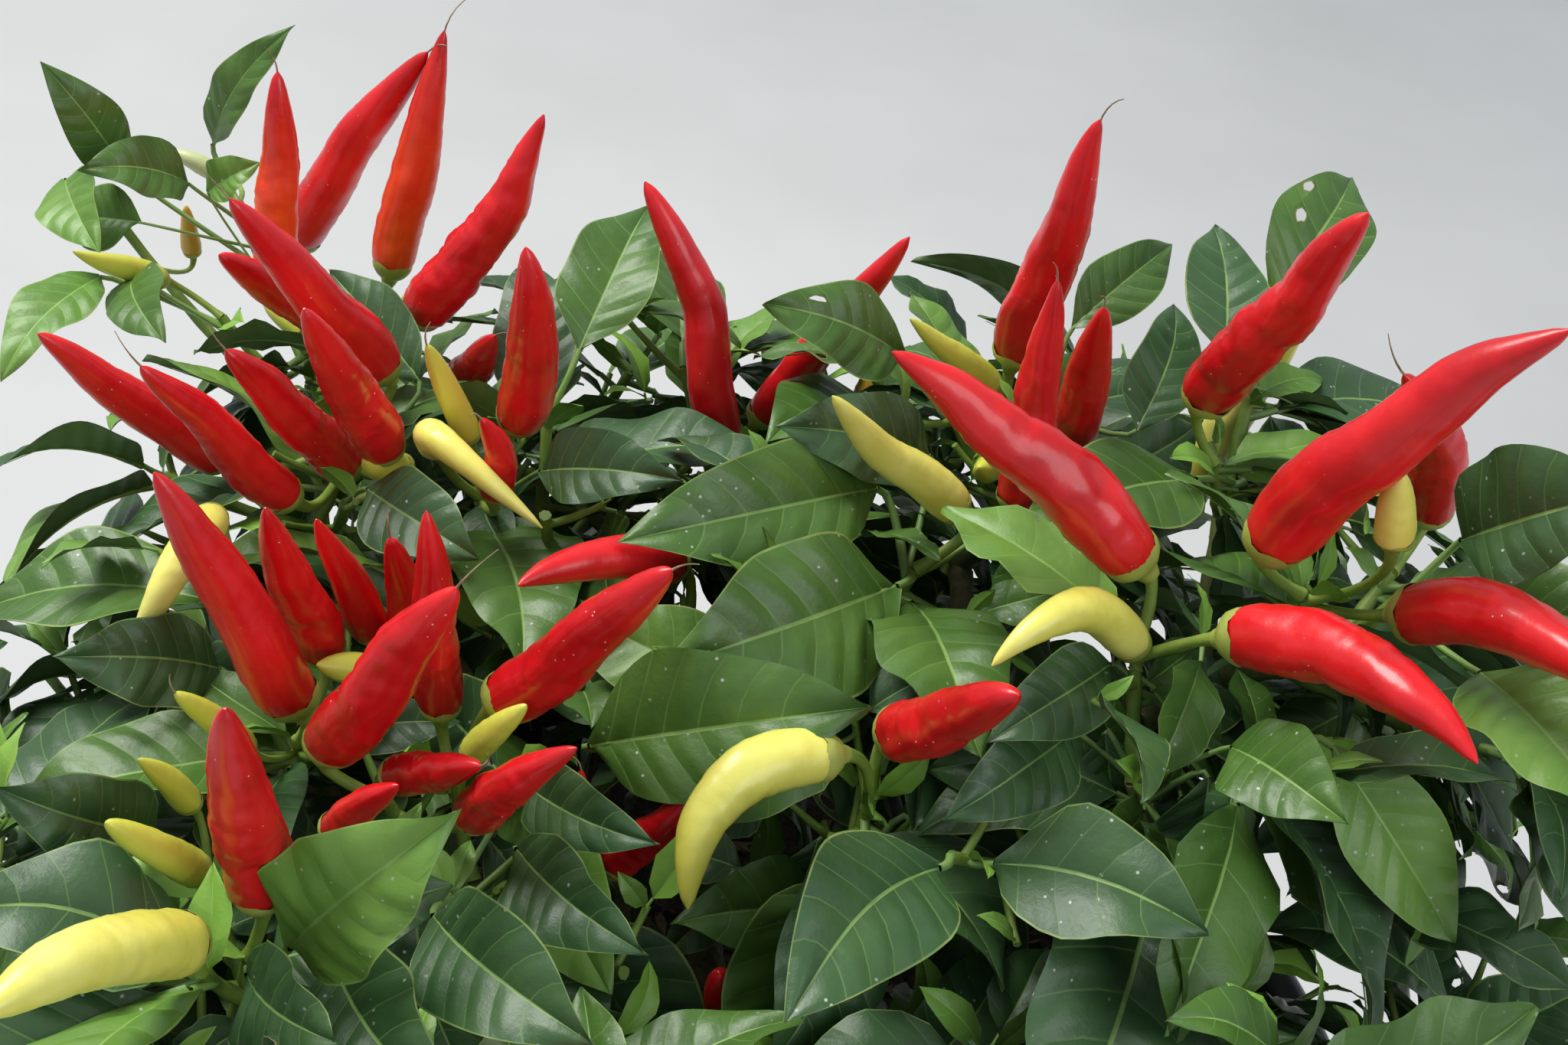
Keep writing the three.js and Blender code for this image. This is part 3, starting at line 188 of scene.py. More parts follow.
# Each mass of foliage: the bough it grows on and its heart, whether the rule gives it no pods, and
# whether its twigs hang low. Then the pods that show in the photograph: colour, foot, tip, girth and,
# for a bent one, where it bends to. Last the large leaves: tone, foot, tip and width. Tones are d for
# dark, m for middle and f for fresh, and a capital where insects have eaten the leaf.
Mass = namedtuple("Mass", "bough heart podless low pods leaves", defaults=(False, False, (), ()))
MASSES = {
    "foliage_back_left": Mass("bough_left_back", (-96, 108, 270), pods=(
        ("orange", (-105, 110, 287), (-106, 114, 333), 8.5),
        ("red", (-107, 130, 287), (-81, 126, 336), 10, (-98, 131, 310)),
        ("orange", (-85, 119, 291), (-78, 126, 341), 9),
        ("red", (-75, 98, 296), (-54, 99, 342), 10, (-60, 98, 318)),
        ("yellow", (-126, 105, 289), (-137, 89, 303), 5),
    ), leaves=(
        ("m", (-127, 139, 300), (-111, 138, 330), 10), ("m", (-127, 125, 299), (-141, 107, 310), 13),
        ("m", (-134, 116, 294), (-150, 122, 288), 14), ("f", (-136, 100, 291), (-144, 69, 288), 13),
        ("m", (-140, 125, 299), (-152, 118, 324), 12), ("f", (-151, 122, 297), (-135, 97, 298), 13),
        ("m", (-130, 100, 292), (-116, 75, 297), 13), ("f", (-124, 126, 297), (-114, 126, 306), 9),
    )),
    "foliage_left_upper": Mass("bough_left_back", (-84, 60, 272), podless=True, pods=(
        ("red", (-75, 74, 299), (-97, 57, 340), 9), ("red", (-90, 90, 295), (-103, 69, 321), 7),
        ("red", (-100, 58, 286), (-123, 39, 320), 8.5), ("red", (-84, 46, 290), (-103, 30, 324), 8),
        ("red", (-77, 56, 290), (-92, 38, 324), 8), ("red", (-69, 50, 300), (-78, 33, 338), 9),
    ), leaves=(
        ("d", (-69, 78, 295), (-92, 100, 301), 14), ("d", (-70, 42, 298), (-48, 27, 300), 15),
    )),
    "foliage_middle_left": Mass("bough_back", (-52, 60, 276), pods=(
        ("yellow", (-56, 57, 301), (-63, 52, 322), 5),
        ("yellow", (-60, 50, 303), (-39, 36, 301), 6.5, (-62, 46, 316)),
        ("red", (-49, 46, 298), (-51, 40, 318), 6),
        ("red", (-48, 60, 305), (-47, 47, 347), 9.5, (-42, 50, 326)),
        ("red", (-66, 99, 282), (-58, 87, 302), 7.5),
    ), leaves=(
        ("d", (-49, 84, 286), (-58, 117, 302), 16), ("m", (-41, 76, 309), (-35, 109, 322), 17),
        ("d", (-42, 47, 304), (-18, 36, 316), 13),
    )),
    "foliage_left": Mass("bough_left_side", (-70, 2, 270), pods=(
        ("red", (-68, -6, 293), (-86, -12, 338), 10),
        ("yellow", (-91, 26, 300), (-97, 4, 290), 6, (-90, 12, 306)),
        ("red", (-68, 9, 291), (-74, -1, 326), 8.5), ("red", (-62, 17, 289), (-69, 8, 318), 6.5),
        ("red", (-55, 17, 289), (-58, 9, 316), 6.5), ("yellow", (-74, -12, 288), (-82, -19, 304), 4.5),
    ), leaves=(
        ("d", (-84, 8, 284), (-104, -8, 296), 15),
    )),
    "foliage_near_left": Mass("bough_left_front", (-38, -14, 270), pods=(
        ("red", (-47, -1, 292), (-51, 1, 329), 7.5), ("red", (-60, -17, 296), (-42, -20, 334), 9.5),
        ("red", (-37, -6, 301), (-14, -12, 337), 9.5), ("red", (-50, -20, 296), (-35, -30, 311), 6),
        ("red", (-37, -26, 297), (-22, -34, 322), 7, (-34, -32, 311)),
        ("red", (-56, -29, 292), (-46, -33, 308), 6), ("yellow", (-40, -12, 295), (-32, -14, 309), 4.5),
        ("red", (-17, -13, 277), (-5, -13, 297), 7), ("red", (-22, -10, 271), (-23, -15, 299), 6.5),
    ), leaves=(
        ("d", (-30, -26, 292), (-10, -47, 299), 14), ("d", (-39, -40, 291), (-13, -65, 301), 18),
        ("d", (-31, -17, 296), (-11, -34, 306), 12),
    )),
    "foliage_front_left": Mass("bough_left_front", (-66, -44, 266), pods=(
        ("red", (-62, -44, 293), (-64, -51, 335), 9.5), ("yellow", (-78, -26, 289), (-83, -32, 303), 4.5),
        ("yellow", (-73, -38, 289), (-82, -47, 306), 5.5),
        ("yellow", (-68, -60, 300), (-79, -92, 322), 9.5, (-70, -74, 318)),
    ), leaves=(
        ("f", (-57, -48, 288), (-36, -49, 320), 20), ("D", (-62, -51, 285), (-44, -68, 296), 16),
        ("d", (-86, -31, 281), (-89, -55, 298), 14), ("d", (-82, -30, 286), (-98, -43, 304), 15),
        ("d", (-52, -44, 284), (-29, -72, 290), 20),
    )),
    "foliage_middle": Mass("bough_back", (-8, 22, 272), pods=(
        ("red", (-16, 32, 301), (-38, 8, 312), 7.5, (-28, 22, 312)),
    ), leaves=(
        ("m", (-24, -2, 291), (17, -4, 311), 23),
    )),
    "foliage_back": Mass("bough_back_left", (-8, 86, 270), pods=(
        ("red", (-14, 80, 290), (-34, 89, 338), 8.7, (-18, 84, 318)),
        ("red", (-8, 97, 287), (13, 93, 334), 8),
    )),
    "foliage_middle_right": Mass("bough_right", (16, 36, 288), pods=(
        ("yellow", (28, 42, 315), (4, 36, 337), 7, (15, 40, 322)),
    ), leaves=(
        ("m", (20, 30, 307), (-14, 0, 308), 26), ("m", (15, 51, 310), (-25, 21, 313), 20),
        ("d", (23, 61, 311), (-4, 45, 323), 16),
    )),
    "foliage_back_right": Mass("bough_right_back", (42, 70, 298), pods=(
        ("yellow", (33, 80, 314), (15, 73, 330), 5), ("red", (35, 84, 319), (39, 80, 369), 9.7),
        ("red", (37, 50, 313), (35, 50, 356), 8), ("red", (46, 68, 315), (44, 56, 349), 8),
    ), leaves=(
        ("M", (16, 81, 317), (-10, 71, 329), 16), ("m", (44, 88, 324), (61, 108, 334), 12),
        ("d", (56, 64, 321), (61, 89, 333), 13),
    )),
    "foliage_right_back": Mass("bough_right_side", (74, 62, 308), pods=(
        ("red", (65, 62, 331), (76, 45, 379), 10),
    ), leaves=(
        ("M", (76, 86, 338), (90, 114, 351), 18), ("d", (68, 70, 334), (65, 98, 344), 15),
    )),
    "foliage_right": Mass("bough_right_side", (90, 26, 312), pods=(
        ("red", (72, 20, 335), (95, 4, 389), 11.5, (80, 10, 364)),
        ("red", (103, 50, 325), (87, 37, 358), 9, (100, 44, 346)),
        ("yellow", (87, 14, 344), (82, 12, 358), 6),
        ("red", (92, 12, 333), (110, -22, 352), 10, (102, -2, 350)),
    ), leaves=(
        ("d", (100, 24, 339), (114, 6, 366), 20), ("m", (104, 18, 334), (126, 0, 344), 14),
        ("f", (104, 8, 328), (118, -22, 330), 20),
    )),
    "foliage_near_right": Mass("bough_right_front", (60, 4, 298), podless=True, low=True, pods=(
        ("red", (54, 21, 327), (11, 19, 358), 10.7, (30, 22, 348)),
        ("red", (68, 8, 326), (95, -26, 340), 10, (84, -6, 342)),
        ("yellow", (56, 14, 316), (33, -4, 323), 7, (42, 8, 334)),
    ), leaves=(
        ("d", (54, 8, 304), (61, 2, 274), 15), ("d", (70, 2, 304), (71, -13, 278), 17),
        ("D", (65, -4, 290), (52, -58, 274), 30), ("d", (49, 6, 304), (31, -16, 303), 14),
        ("d", (53, 13, 313), (35, -7, 311), 13), ("m", (71, 0, 312), (84, -20, 320), 15),
        ("f", (84, -2, 318), (110, -10, 290), 16),
    )),
    "foliage_near_middle": Mass("bough_front", (18, -4, 266), podless=True, low=True, pods=(
        ("red", (22, 0, 303), (36, -16, 329), 9.3),
        ("yellow", (13, -7, 303), (-4, -30, 290), 8.8, (-8, -20, 309)),
        ("red", (6, -20, 252), (2, -26, 273), 7.6),
    ), leaves=(
        ("d", (28, 6, 280), (52, -2, 244), 20), ("d", (20, -2, 281), (27, -8, 250), 16),
        ("d", (14, -2, 280), (8, -10, 252), 14),
    )),
    "foliage_left_outer": Mass("bough_left_side", (-110, 20, 240), low=True),
    "foliage_left_front_outer": Mass("bough_left_side", (-100, -26, 250)),
    "foliage_back_left_outer": Mass("bough_back_left", (-48, 112, 254), podless=True),
    "foliage_back_right_outer": Mass("bough_right_back", (36, 110, 262)),
    "foliage_right_outer": Mass("bough_right_front", (104, -14, 248), podless=True, low=True),
    "foliage_right_low": Mass("bough_right_side", (108, 44, 276)),
    "foliage_front": Mass("bough_front", (-24, -72, 252)),
    "foliage_front_right": Mass("bough_front_right", (66, -54, 262), podless=True),
    "foliage_front_outer": Mass("bough_front_right", (22, -86, 248)),
}

def vec(point):
    return np.array(point, float)


def unit(v):
    return v / np.linalg.norm(v)


def mix(low, high, share):
    return low + (high - low) * share


def heading(turn, rise):
    """A direction by its turn about the vertical and its rise."""
    return vec((math.cos(turn), math.sin(turn), rise))


def chance(a, b, c):
    """A repeatable number from 0 to 1 for a set of whole-number keys."""
    h = (SEED + a * 7919 + b * 104729 + c * 1299709) % 2**32
    h = ((h ^ (h >> 15)) * 2246822519) % 2**32
    h = ((h ^ (h >> 13)) * 3266489917) % 2**32
    return (h ^ (h >> 16)) / 2**32


class Arc:
    """A curve from one point to another that leaves the straight line towards a third."""

    def __init__(self, start, towards, end):
        self.points = (vec(start), vec(towards), vec(end))

    def at(self, share):
        t = np.asarray(share, float)[..., None]
        a, b, c = self.points
        return (1 - t) ** 2 * a + 2 * (1 - t) * t * b + t**2 * c

    def tangent(self, share):
        a, b, c = self.points
        return unit(2 * (1 - share) * (b - a) + 2 * share * (c - b))

    def length(self):
        steps = np.diff(self.at(np.linspace(0, 1, 60)), axis=0)
        return float(np.linalg.norm(steps, axis=1).sum())


UP = vec((0, 0, 1))
FRONT = unit(vec((0, -0.79, 0.61)))


def tip_of(limb):
    return vec(TRUNK_TIP if limb == "trunk" else BOUGHS[limb].tip)


def root_radius_of(limb):
    root, _, radius = BOUGHS[limb]
    root_radius = TRUNK_TIP_RADIUS if root == "trunk" else BOUGHS[root].radius
    return max(root_radius * BOUGH_TAPER, radius * SWELL)


def limb_curve(start, end):
    """A limb leaves its fork outwards and then turns up."""
    length = np.linalg.norm(end - start)
    return Arc(start, (start + end) / 2 - UP * BOUGH_SAG * length, end)


def bough_curve(name):
    return limb_curve(tip_of(BOUGHS[name].root), tip_of(name))


def trunk_curve():
    foot, tip = vec(TRUNK_FOOT), vec(TRUNK_TIP)
    return Arc(foot, (foot + tip) / 2 + vec(TRUNK_BEND), tip)


def balls_along(curve, radii, count):
    """The space that a thing takes, as balls along it: their places, radii and shares of its length."""
    share = np.linspace(0, 1, count + 1)
    return curve.at(share), np.interp(share, np.linspace(0, 1, len(radii)), radii), share


def later(balls, start):
    return tuple(part[start:] for part in balls)


def twig_balls(curve):
    return balls_along(curve, (TWIG_RADIUS, TWIG_TIP_RADIUS), 6)


def stalk_balls(stalk):
    return balls_along(stalk, (STALK_RADIUS, STALK_TOP_RADIUS), 4)


def pod_balls(curve, girth):
    return balls_along(curve, [share * girth for share in POD_GIRTHS_ALONG], 8)


LIMB, TWIG, POD, LEAF = range(4)
MOST_GROUPS = 9000
MOST_BALLS = 200000


class Grown:
    """What has grown so far, in groups of balls: new twigs, leaves and pods keep clear of it."""

    def __init__(self):
        self.groups = self.balls = 0
        self.group = np.zeros(MOST_GROUPS, [
            ("middle", "3f8"), ("reach", "f8"), ("kind", "i8"), ("owner", "i8"), ("sprig", "i8")])
        self.ball = np.zeros(MOST_BALLS, [("at", "3f8"), ("radius", "f8"), ("share", "f8"), ("group", "i8")])

    def remember(self, kind, owner, sprig, balls):
        at, radius, share = balls
        middle = at.mean(axis=0)
        reach = (np.linalg.norm(at - middle, axis=1) + radius).max()
        self.group[self.groups] = (middle, reach, kind, owner, sprig)
        new = self.ball[self.balls:self.balls + len(at)]
        new["at"], new["radius"], new["share"], new["group"] = at, radius, share, self.groups
        self.groups += 1
        self.balls += len(at)

    def clear(self, balls, owner, sprig, apart=CLEAR_OF_LEAF, own_apart=CLEAR_OF_OWN_LEAF):
        """Whether a new thing keeps its distance from all that has grown."""
        at, radius, share = balls
        middle = at[len(at) // 2]
        reach = (np.linalg.norm(at - middle, axis=1) + radius).max()
        groups, others = self.group[:self.groups], self.ball[:self.balls]
        near = np.linalg.norm(groups["middle"] - middle, axis=1) < groups["reach"] + reach + apart
        others = others[near[others["group"]]]
        if not len(others):
            return True
        group = groups[others["group"]]
        same = (group["owner"] == owner) & (group["sprig"] == sprig)
        own_twig = (group["kind"] == TWIG) & (group["owner"] == owner)
        add = np.select(
            [group["kind"] == LEAF, group["kind"] == POD, own_twig],
            [np.where(same, own_apart, apart),
             others["radius"] + CLEAR_OF_POD,
             others["radius"] + CLEAR_OF_OWN_TWIG],
            others["radius"] + CLEAR_OF_WOOD)
        low = share[:, None] < SHARED_ROOT
        free = same & (low | (others["share"] < SHARED_ROOT)) | own_twig & low
        need = np.where(free, 0, radius[:, None] + add)
        gap = at[:, None, :] - others["at"]
        return bool((np.einsum("ijk,ijk->ij", gap, gap) >= need**2).all())


grown = Grown()


def outward_at(point):
    """The level direction away from the crown's middle."""
    return unit(vec((point[0] - CROWN_CENTRE[0], point[1] - CROWN_CENTRE[1], 0)))


def leaf_frame(foot, tip, roll):
    """The frame of a leaf: along its midrib, across it, and out of its upper face."""
    along = unit(tip - foot)
    sky = UP + outward_at(foot) * LEAF_OUTWARD
    face = unit(sky - along * sky.dot(along))
    face = face * math.cos(roll) + np.cross(along, face) * math.sin(roll)
    return along, np.cross(along, face), face


def facing_roll(foot, tip):
    """How far a leaf rolls about its midrib to turn its upper face most of the way to the front."""
    _, across, face = leaf_frame(foot, tip, 0)
    return FACING_SHARE * math.atan2(across.dot(FRONT), face.dot(FRONT))


def leaf_balls(foot, tip, width, roll):
    _, across, face = leaf_frame(foot, tip, roll)
    length = np.linalg.norm(tip - foot)
    share = np.arange(1, LEAF_ROWS + 1) / LEAF_ROWS
    half = width / 2 * np.sin(np.pi * share**0.8)
    middle = foot + (tip - foot) * share[:, None]
    middle = middle + face * (LEAF_ARCH * length * 4 * share * (1 - share))[:, None]
    aside = half[:, None] * LEAF_COLUMNS
    at = middle[:, None, :] + across * aside[..., None] + face * (np.abs(aside) * LEAF_FOLD)[..., None]
    return at.reshape(-1, 3), np.full(aside.size, LEAF_BALL), np.repeat(share, len(LEAF_COLUMNS))


def crown_share(at, spare=0):
    """The square of how far out a point lies in the crown's oval plan: 1 at its rim."""
    u = (at[..., 0] - CROWN_CENTRE[0]) / (CROWN_RADII[0] + spare)
    v = (at[..., 1] - CROWN_CENTRE[1]) / (CROWN_RADII[1] + spare)
    return u * u + v * v


def canopy_height(at):
    return CROWN_SHOULDER + CROWN_TILT * at[..., 0] + CROWN_RISE * (1 - crown_share(at))


def inside_crown(at, spare):
    height = at[..., 2]
    inside = (crown_share(at, spare) < 1) & (height >= CROWN_SKIRT) & (height <= canopy_height(at) + spare)
    return bool(inside.all())


NAMES = list(MASSES)
HEARTS = np.array([mass.heart for mass in MASSES.values()], float)


def in_own_space(at, key, spare):
    """A mass keeps to the points that lie nearer to its heart than to any other heart."""
    away = np.linalg.norm(np.atleast_2d(at)[:, None, :] - HEARTS, axis=2)
    others = np.delete(away, key, axis=1)
    return bool((others.min(axis=1) + spare >= away[:, key]).all())


def pod_curve(foot, tip, bend=None):
    foot, tip = vec(foot), vec(tip)
    return Arc(foot, (foot + tip) / 2 if bend is None else bend, tip)


def stalk_curve(root, curve):
    foot = curve.at(0)
    back = STALK_BEND * np.linalg.norm(foot - root)
    return Arc(root, foot - curve.tangent(0) * back, foot)


class Plan:
    """The twigs, pods and leaves of one mass."""

    def __init__(self, name):
        self.name, self.key, self.mass = name, NAMES.index(name), MASSES[name]
        self.heart = vec(self.mass.heart)
        self.stem = limb_curve(tip_of(self.mass.bough), self.heart)
        self.sprigs, self.pods, self.leaves, self.shoots = [], [], [], []

    def twig_curve(self, point):
        """Twigs leave the stem one below the other, from the heart downwards."""
        root = self.stem.at(max(LOWEST_TWIG, 1 - TWIG_SPACING * len(self.sprigs)))
        towards = (root + point) / 2 - UP * TWIG_SAG * np.linalg.norm(point - root)
        return Arc(root, towards, point)

    def add_sprig(self, point):
        curve = self.twig_curve(point)
        self.sprigs.append({"point": point, "curve": curve, "carried": 0})
        grown.remember(TWIG, self.key, len(self.sprigs) - 1, twig_balls(curve))
        return len(self.sprigs) - 1

    def next_root(self, sprig, take=True):
        """What a sprig carries stands along its last stretch, one below the other."""
        root = sprig["curve"].at(max(LOWEST_STALK, 1 - STALK_SPACING * sprig["carried"]))
        sprig["carried"] += take
        return root

    def sprig_for(self, foot):
        """The sprig that a foot stands on: one that is near enough, or a new one under it."""
        below = [(np.linalg.norm(sprig["point"] - foot), i) for i, sprig in enumerate(self.sprigs)
                 if sprig["point"][2] < foot[2] + ROOT_CONE]
        distance, nearest = min(below, default=(SHARE_DISTANCE, None))
        if distance < SHARE_DISTANCE:
            return nearest
        return self.add_sprig(foot + unit(self.heart - foot) * FOOT_STALK)

    def add_pod(self, sprig, colour, curve, girth):
        stalk = stalk_curve(self.next_root(self.sprigs[sprig]), curve)
        self.pods.append({"colour": colour, "curve": curve, "girth": girth, "stalk": stalk, "sprig": sprig})
        grown.remember(POD, self.key, sprig, pod_balls(curve, girth))
        grown.remember(TWIG, self.key, sprig, stalk_balls(stalk))

    def add_leaf(self, sprig, root, foot, tip, width, roll, size="full", tone=""):
        self.leaves.append({
            "sprig": sprig, "root": root, "foot": foot, "tip": tip, "width": width, "roll": roll,
            "size": size, "tone": tone})
        grown.remember(LEAF, self.key, sprig, leaf_balls(foot, tip, width, roll))


def plan_sprigs(plan):
    """New sprigs spread over a dome round the heart, in the mass's own space and the crown."""
    key = plan.key
    lifts = LOW_SPRIG_LIFTS if plan.mass.low else SPRIG_LIFTS
    for i in range(SPRIG_TRIES):
        if len(plan.sprigs) >= SPRIG_LIMIT:
            return
        turn = i * GOLDEN_ANGLE + chance(key, i, 1) * TURN_PLAY
        lift = mix(*lifts, i / (SPRIG_TRIES - 1))
        flat = math.sqrt(1 - lift * lift)
        way = vec((math.cos(turn) * flat, math.sin(turn) * flat, lift))
        point = plan.heart + way * SPRIG_REACH * mix(SPRIG_NEAREST, 1, chance(key, i, 2))
        spaced = all(np.linalg.norm(s["point"] - point) > SPRIG_SPACING for s in plan.sprigs)
        if spaced and in_own_space(point, key, 0) and inside_crown(point, -SPRIG_INSET):
            if grown.clear(later(twig_balls(plan.twig_curve(point)), 2), key, -1):
                plan.add_sprig(point)


def plan_pods(plan):
    """Upright pods on the sprigs that carry none, leaning outwards."""
    key = plan.key
    taken = {pod["sprig"] for pod in plan.pods}
    for i, sprig in enumerate(plan.sprigs):
        root = sprig["point"]
        bare = plan.mass.podless or i in taken or root[2] < plan.heart[2]
        if bare or chance(key, i, 11) > POD_SHARE:
            continue
        outward = outward_at(root)
        swing = mix(-POD_TURN, POD_TURN, chance(key, i, 12))
        outward = outward * math.cos(swing) + np.cross(UP, outward) * math.sin(swing)
        axis = unit(UP + outward * mix(*POD_LEANS, chance(key, i, 13)))
        foot = root + axis * mix(*POD_FEET, chance(key, i, 14))
        tip = foot + axis * mix(*POD_LENGTHS, chance(key, i, 15))
        side = unit(np.cross(axis, outward))
        bend = (foot + tip) / 2 + side * mix(-POD_BEND, POD_BEND, chance(key, i, 16))
        girth = mix(*POD_GIRTHS, chance(key, i, 17))
        curve = Arc(foot, bend, tip)
        colour = "red" if chance(key, i, 18) < RED_SHARE else "yellow"
        stalk = stalk_balls(stalk_curve(root, curve))
        if grown.clear(pod_balls(curve, girth), key, -1) and grown.clear(later(stalk, 2), key, i):
            plan.add_pod(i, colour, curve, girth)


def leaf_fits(plan, balls):
    return inside_crown(balls[0], LEAF_SPARE) and in_own_space(balls[0], plan.key, LEAF_SLACK)


def plan_leaves(plan, turn_of):
    """Leaves stand round each sprig by the golden angle, the later ones lower and longer."""
    key = plan.key
    for i, sprig in enumerate(plan.sprigs):
        count = sum(leaf["sprig"] == i for leaf in plan.leaves)
        for j in range(LEAF_TRIES):
            if count >= LEAF_LIMIT + turn_of:
                break
            k = (turn_of * SPRIG_LIMIT * 2 + i) * LEAF_TRIES + j
            turn = (j + i / 3) * GOLDEN_ANGLE + chance(key, k, 21) * TURN_PLAY
            fall = (j + chance(key, k, 22)) / LEAF_TRIES
            along = unit(heading(turn, mix(*LEAF_SLOPES, fall)))
            shortest, longest = (mix(*pair, fall) for pair in zip(LEAF_LENGTHS, LOW_LEAF_LENGTHS))
            length = mix(shortest, longest, chance(key, k, 23)) * LEAF_ROUNDS[turn_of]
            width = length * LEAF_WIDTH_RATIO * mix(*LEAF_WIDTH_RANGE, chance(key, k, 24))
            foot = plan.next_root(sprig, take=False)
            tip = foot + along * length
            roll = mix(-LEAF_ROLL, LEAF_ROLL, chance(key, k, 25))
            balls = leaf_balls(foot, tip, width, roll)
            if leaf_fits(plan, balls) and grown.clear(balls, key, i):
                plan.add_leaf(i, plan.next_root(sprig), foot, tip, width, roll)
                count += 1


def try_leaf(plan, number, own, foot, along, lengths, size):
    """One more leaf of the finer growth, if there is room for it."""
    key = plan.key
    length = mix(*lengths, chance(key, number, 51))
    width = length * FINE_WIDTH_RATIO[size] * mix(*FINE_WIDTH_RANGE, chance(key, number, 52))
    roll = mix(-FINE_ROLL, FINE_ROLL, chance(key, number, 53))
    tip = foot + unit(along) * length
    balls = leaf_balls(foot, tip, width, roll)
    room = leaf_fits(plan, balls) and grown.clear(balls, key, own, FINE_CLEAR, FINE_CLEAR_OWN)
    if room:
        plan.add_leaf(own, foot, foot, tip, width, roll, size)
    return room


def plan_shoots(plan):
    """Side shoots of each twig, each with a few leaves on it."""
    key = plan.key
    for i, sprig in enumerate(plan.sprigs):
        for k, share in enumerate(SHOOT_SHARES):
            number = SHOOT_KEYS + i * 8 + k
            root = sprig["curve"].at(share)
            turn = (k + i * 0.4) * GOLDEN_ANGLE * 1.7 + chance(key, number, 41) * 2
            way = heading(turn, mix(*SHOOT_SLOPES, chance(key, number, 42)))
            point = root + unit(way) * mix(*SHOOT_LENGTHS, chance(key, number, 43))
            curve = Arc(root, (root + point) / 2 - UP, point)
            balls = balls_along(curve, (SHOOT_RADIUS, SHOOT_RADIUS), 3)
            free = grown.clear(later(balls, 1), key, i, *SHOOT_CLEAR)
            if not free or not inside_crown(point, -SHOOT_INSET):
                continue
            own = FIRST_SHOOT + len(plan.shoots)
            plan.shoots.append(curve)
            grown.remember(TWIG, key, own, balls)
            carried = 0
            for j in range(SHOOT_TRIES):
                slope = mix(*SHOOT_LEAF_SLOPES, (j + chance(key, number * 8 + j, 44)) / SHOOT_TRIES)
                along = heading(turn + (j + 1) * GOLDEN_ANGLE, slope)
                foot = curve.at(1 - 0.1 * carried)
                if carried < SHOOT_LEAVES and try_leaf(
                        plan, number * 8 + j, own, foot, along, SHOOT_LEAF_LENGTHS, "small"):
                    carried += 1


def plan_tufts(plan):
    """Young bright leaves round the tip of each sprig and shoot."""
    spots = [(i, sprig["curve"]) for i, sprig in enumerate(plan.sprigs)]
    spots += [(FIRST_SHOOT + i, curve) for i, curve in enumerate(plan.shoots)]
    for own, curve in spots:
        for j in range(TUFT_LEAVES):
            number = TUFT_KEYS + own * 8 + j
            turn = j * GOLDEN_ANGLE + chance(plan.key, number, 61) * 2
            along = heading(turn, mix(*TUFT_SLOPES, chance(plan.key, number, 62)))
            try_leaf(plan, number, own, curve.at(1 - 0.04 * j), along, TUFT_LENGTHS, "young")


def plan_fill(plan, turn_of):
    """Further leaves from the twigs and the stem, into the room that is left."""
    key = plan.key
    curves = [(i, sprig["curve"]) for i, sprig in enumerate(plan.sprigs)] + [(-1, plan.stem)]
    for own, curve in curves:
        for j in range(FILL_TRIES):
            number = FILL_KEYS + (turn_of * 40 + own + 1) * 16 + j
            turn = (j + own * 0.6) * GOLDEN_ANGLE + chance(key, number, 71)
            along = heading(turn, mix(*FILL_SLOPES, (j + chance(key, number, 72)) / FILL_TRIES))
            foot = curve.at(mix(*FILL_FEET, chance(key, number, 73)))
            try_leaf(plan, number, own, foot, along, FILL_LENGTHS[turn_of], "small")


def push_pod(pod, share, away):
    """Bows a pod so that its line moves by a vector at a share of its length."""
    start, towards, end = pod["curve"].points
    if share > 0.75:
        end = end + away / share**2
    elif share > 0.2:
        towards = towards + away / (2 * share * (1 - share))
    pod["curve"] = Arc(start, towards, end)


def part_pods(pods):
    """Pods that would run into each other bow apart until their skins just touch."""
    share = np.linspace(0, 1, 13)
    slim = np.interp(share, (0, 0.1, 0.35, 0.7, 1), (0.7, 1, 1, 0.7, 0.12)) / 2
    pairs = [(one, other) for n, one in enumerate(pods) for other in pods[:n]]
    for one, other in pairs * PARTING_ROUNDS:
        if np.linalg.norm(one["curve"].points[0] - other["curve"].points[0]) > PARTING_REACH:
            continue
        between = one["curve"].at(share)[:, None] - other["curve"].at(share)[None]
        apart = np.linalg.norm(between, axis=2)
        room = apart - slim[:, None] * one["girth"] - slim[None] * other["girth"]
        a, b = np.unravel_index(np.argmin(room), room.shape)
        if room[a, b] < POD_GAP:
            away = between[a, b] / max(apart[a, b], 0.01) * (POD_GAP - room[a, b]) / 2
            push_pod(one, share[a], away)
            push_pod(other, share[b], -away)


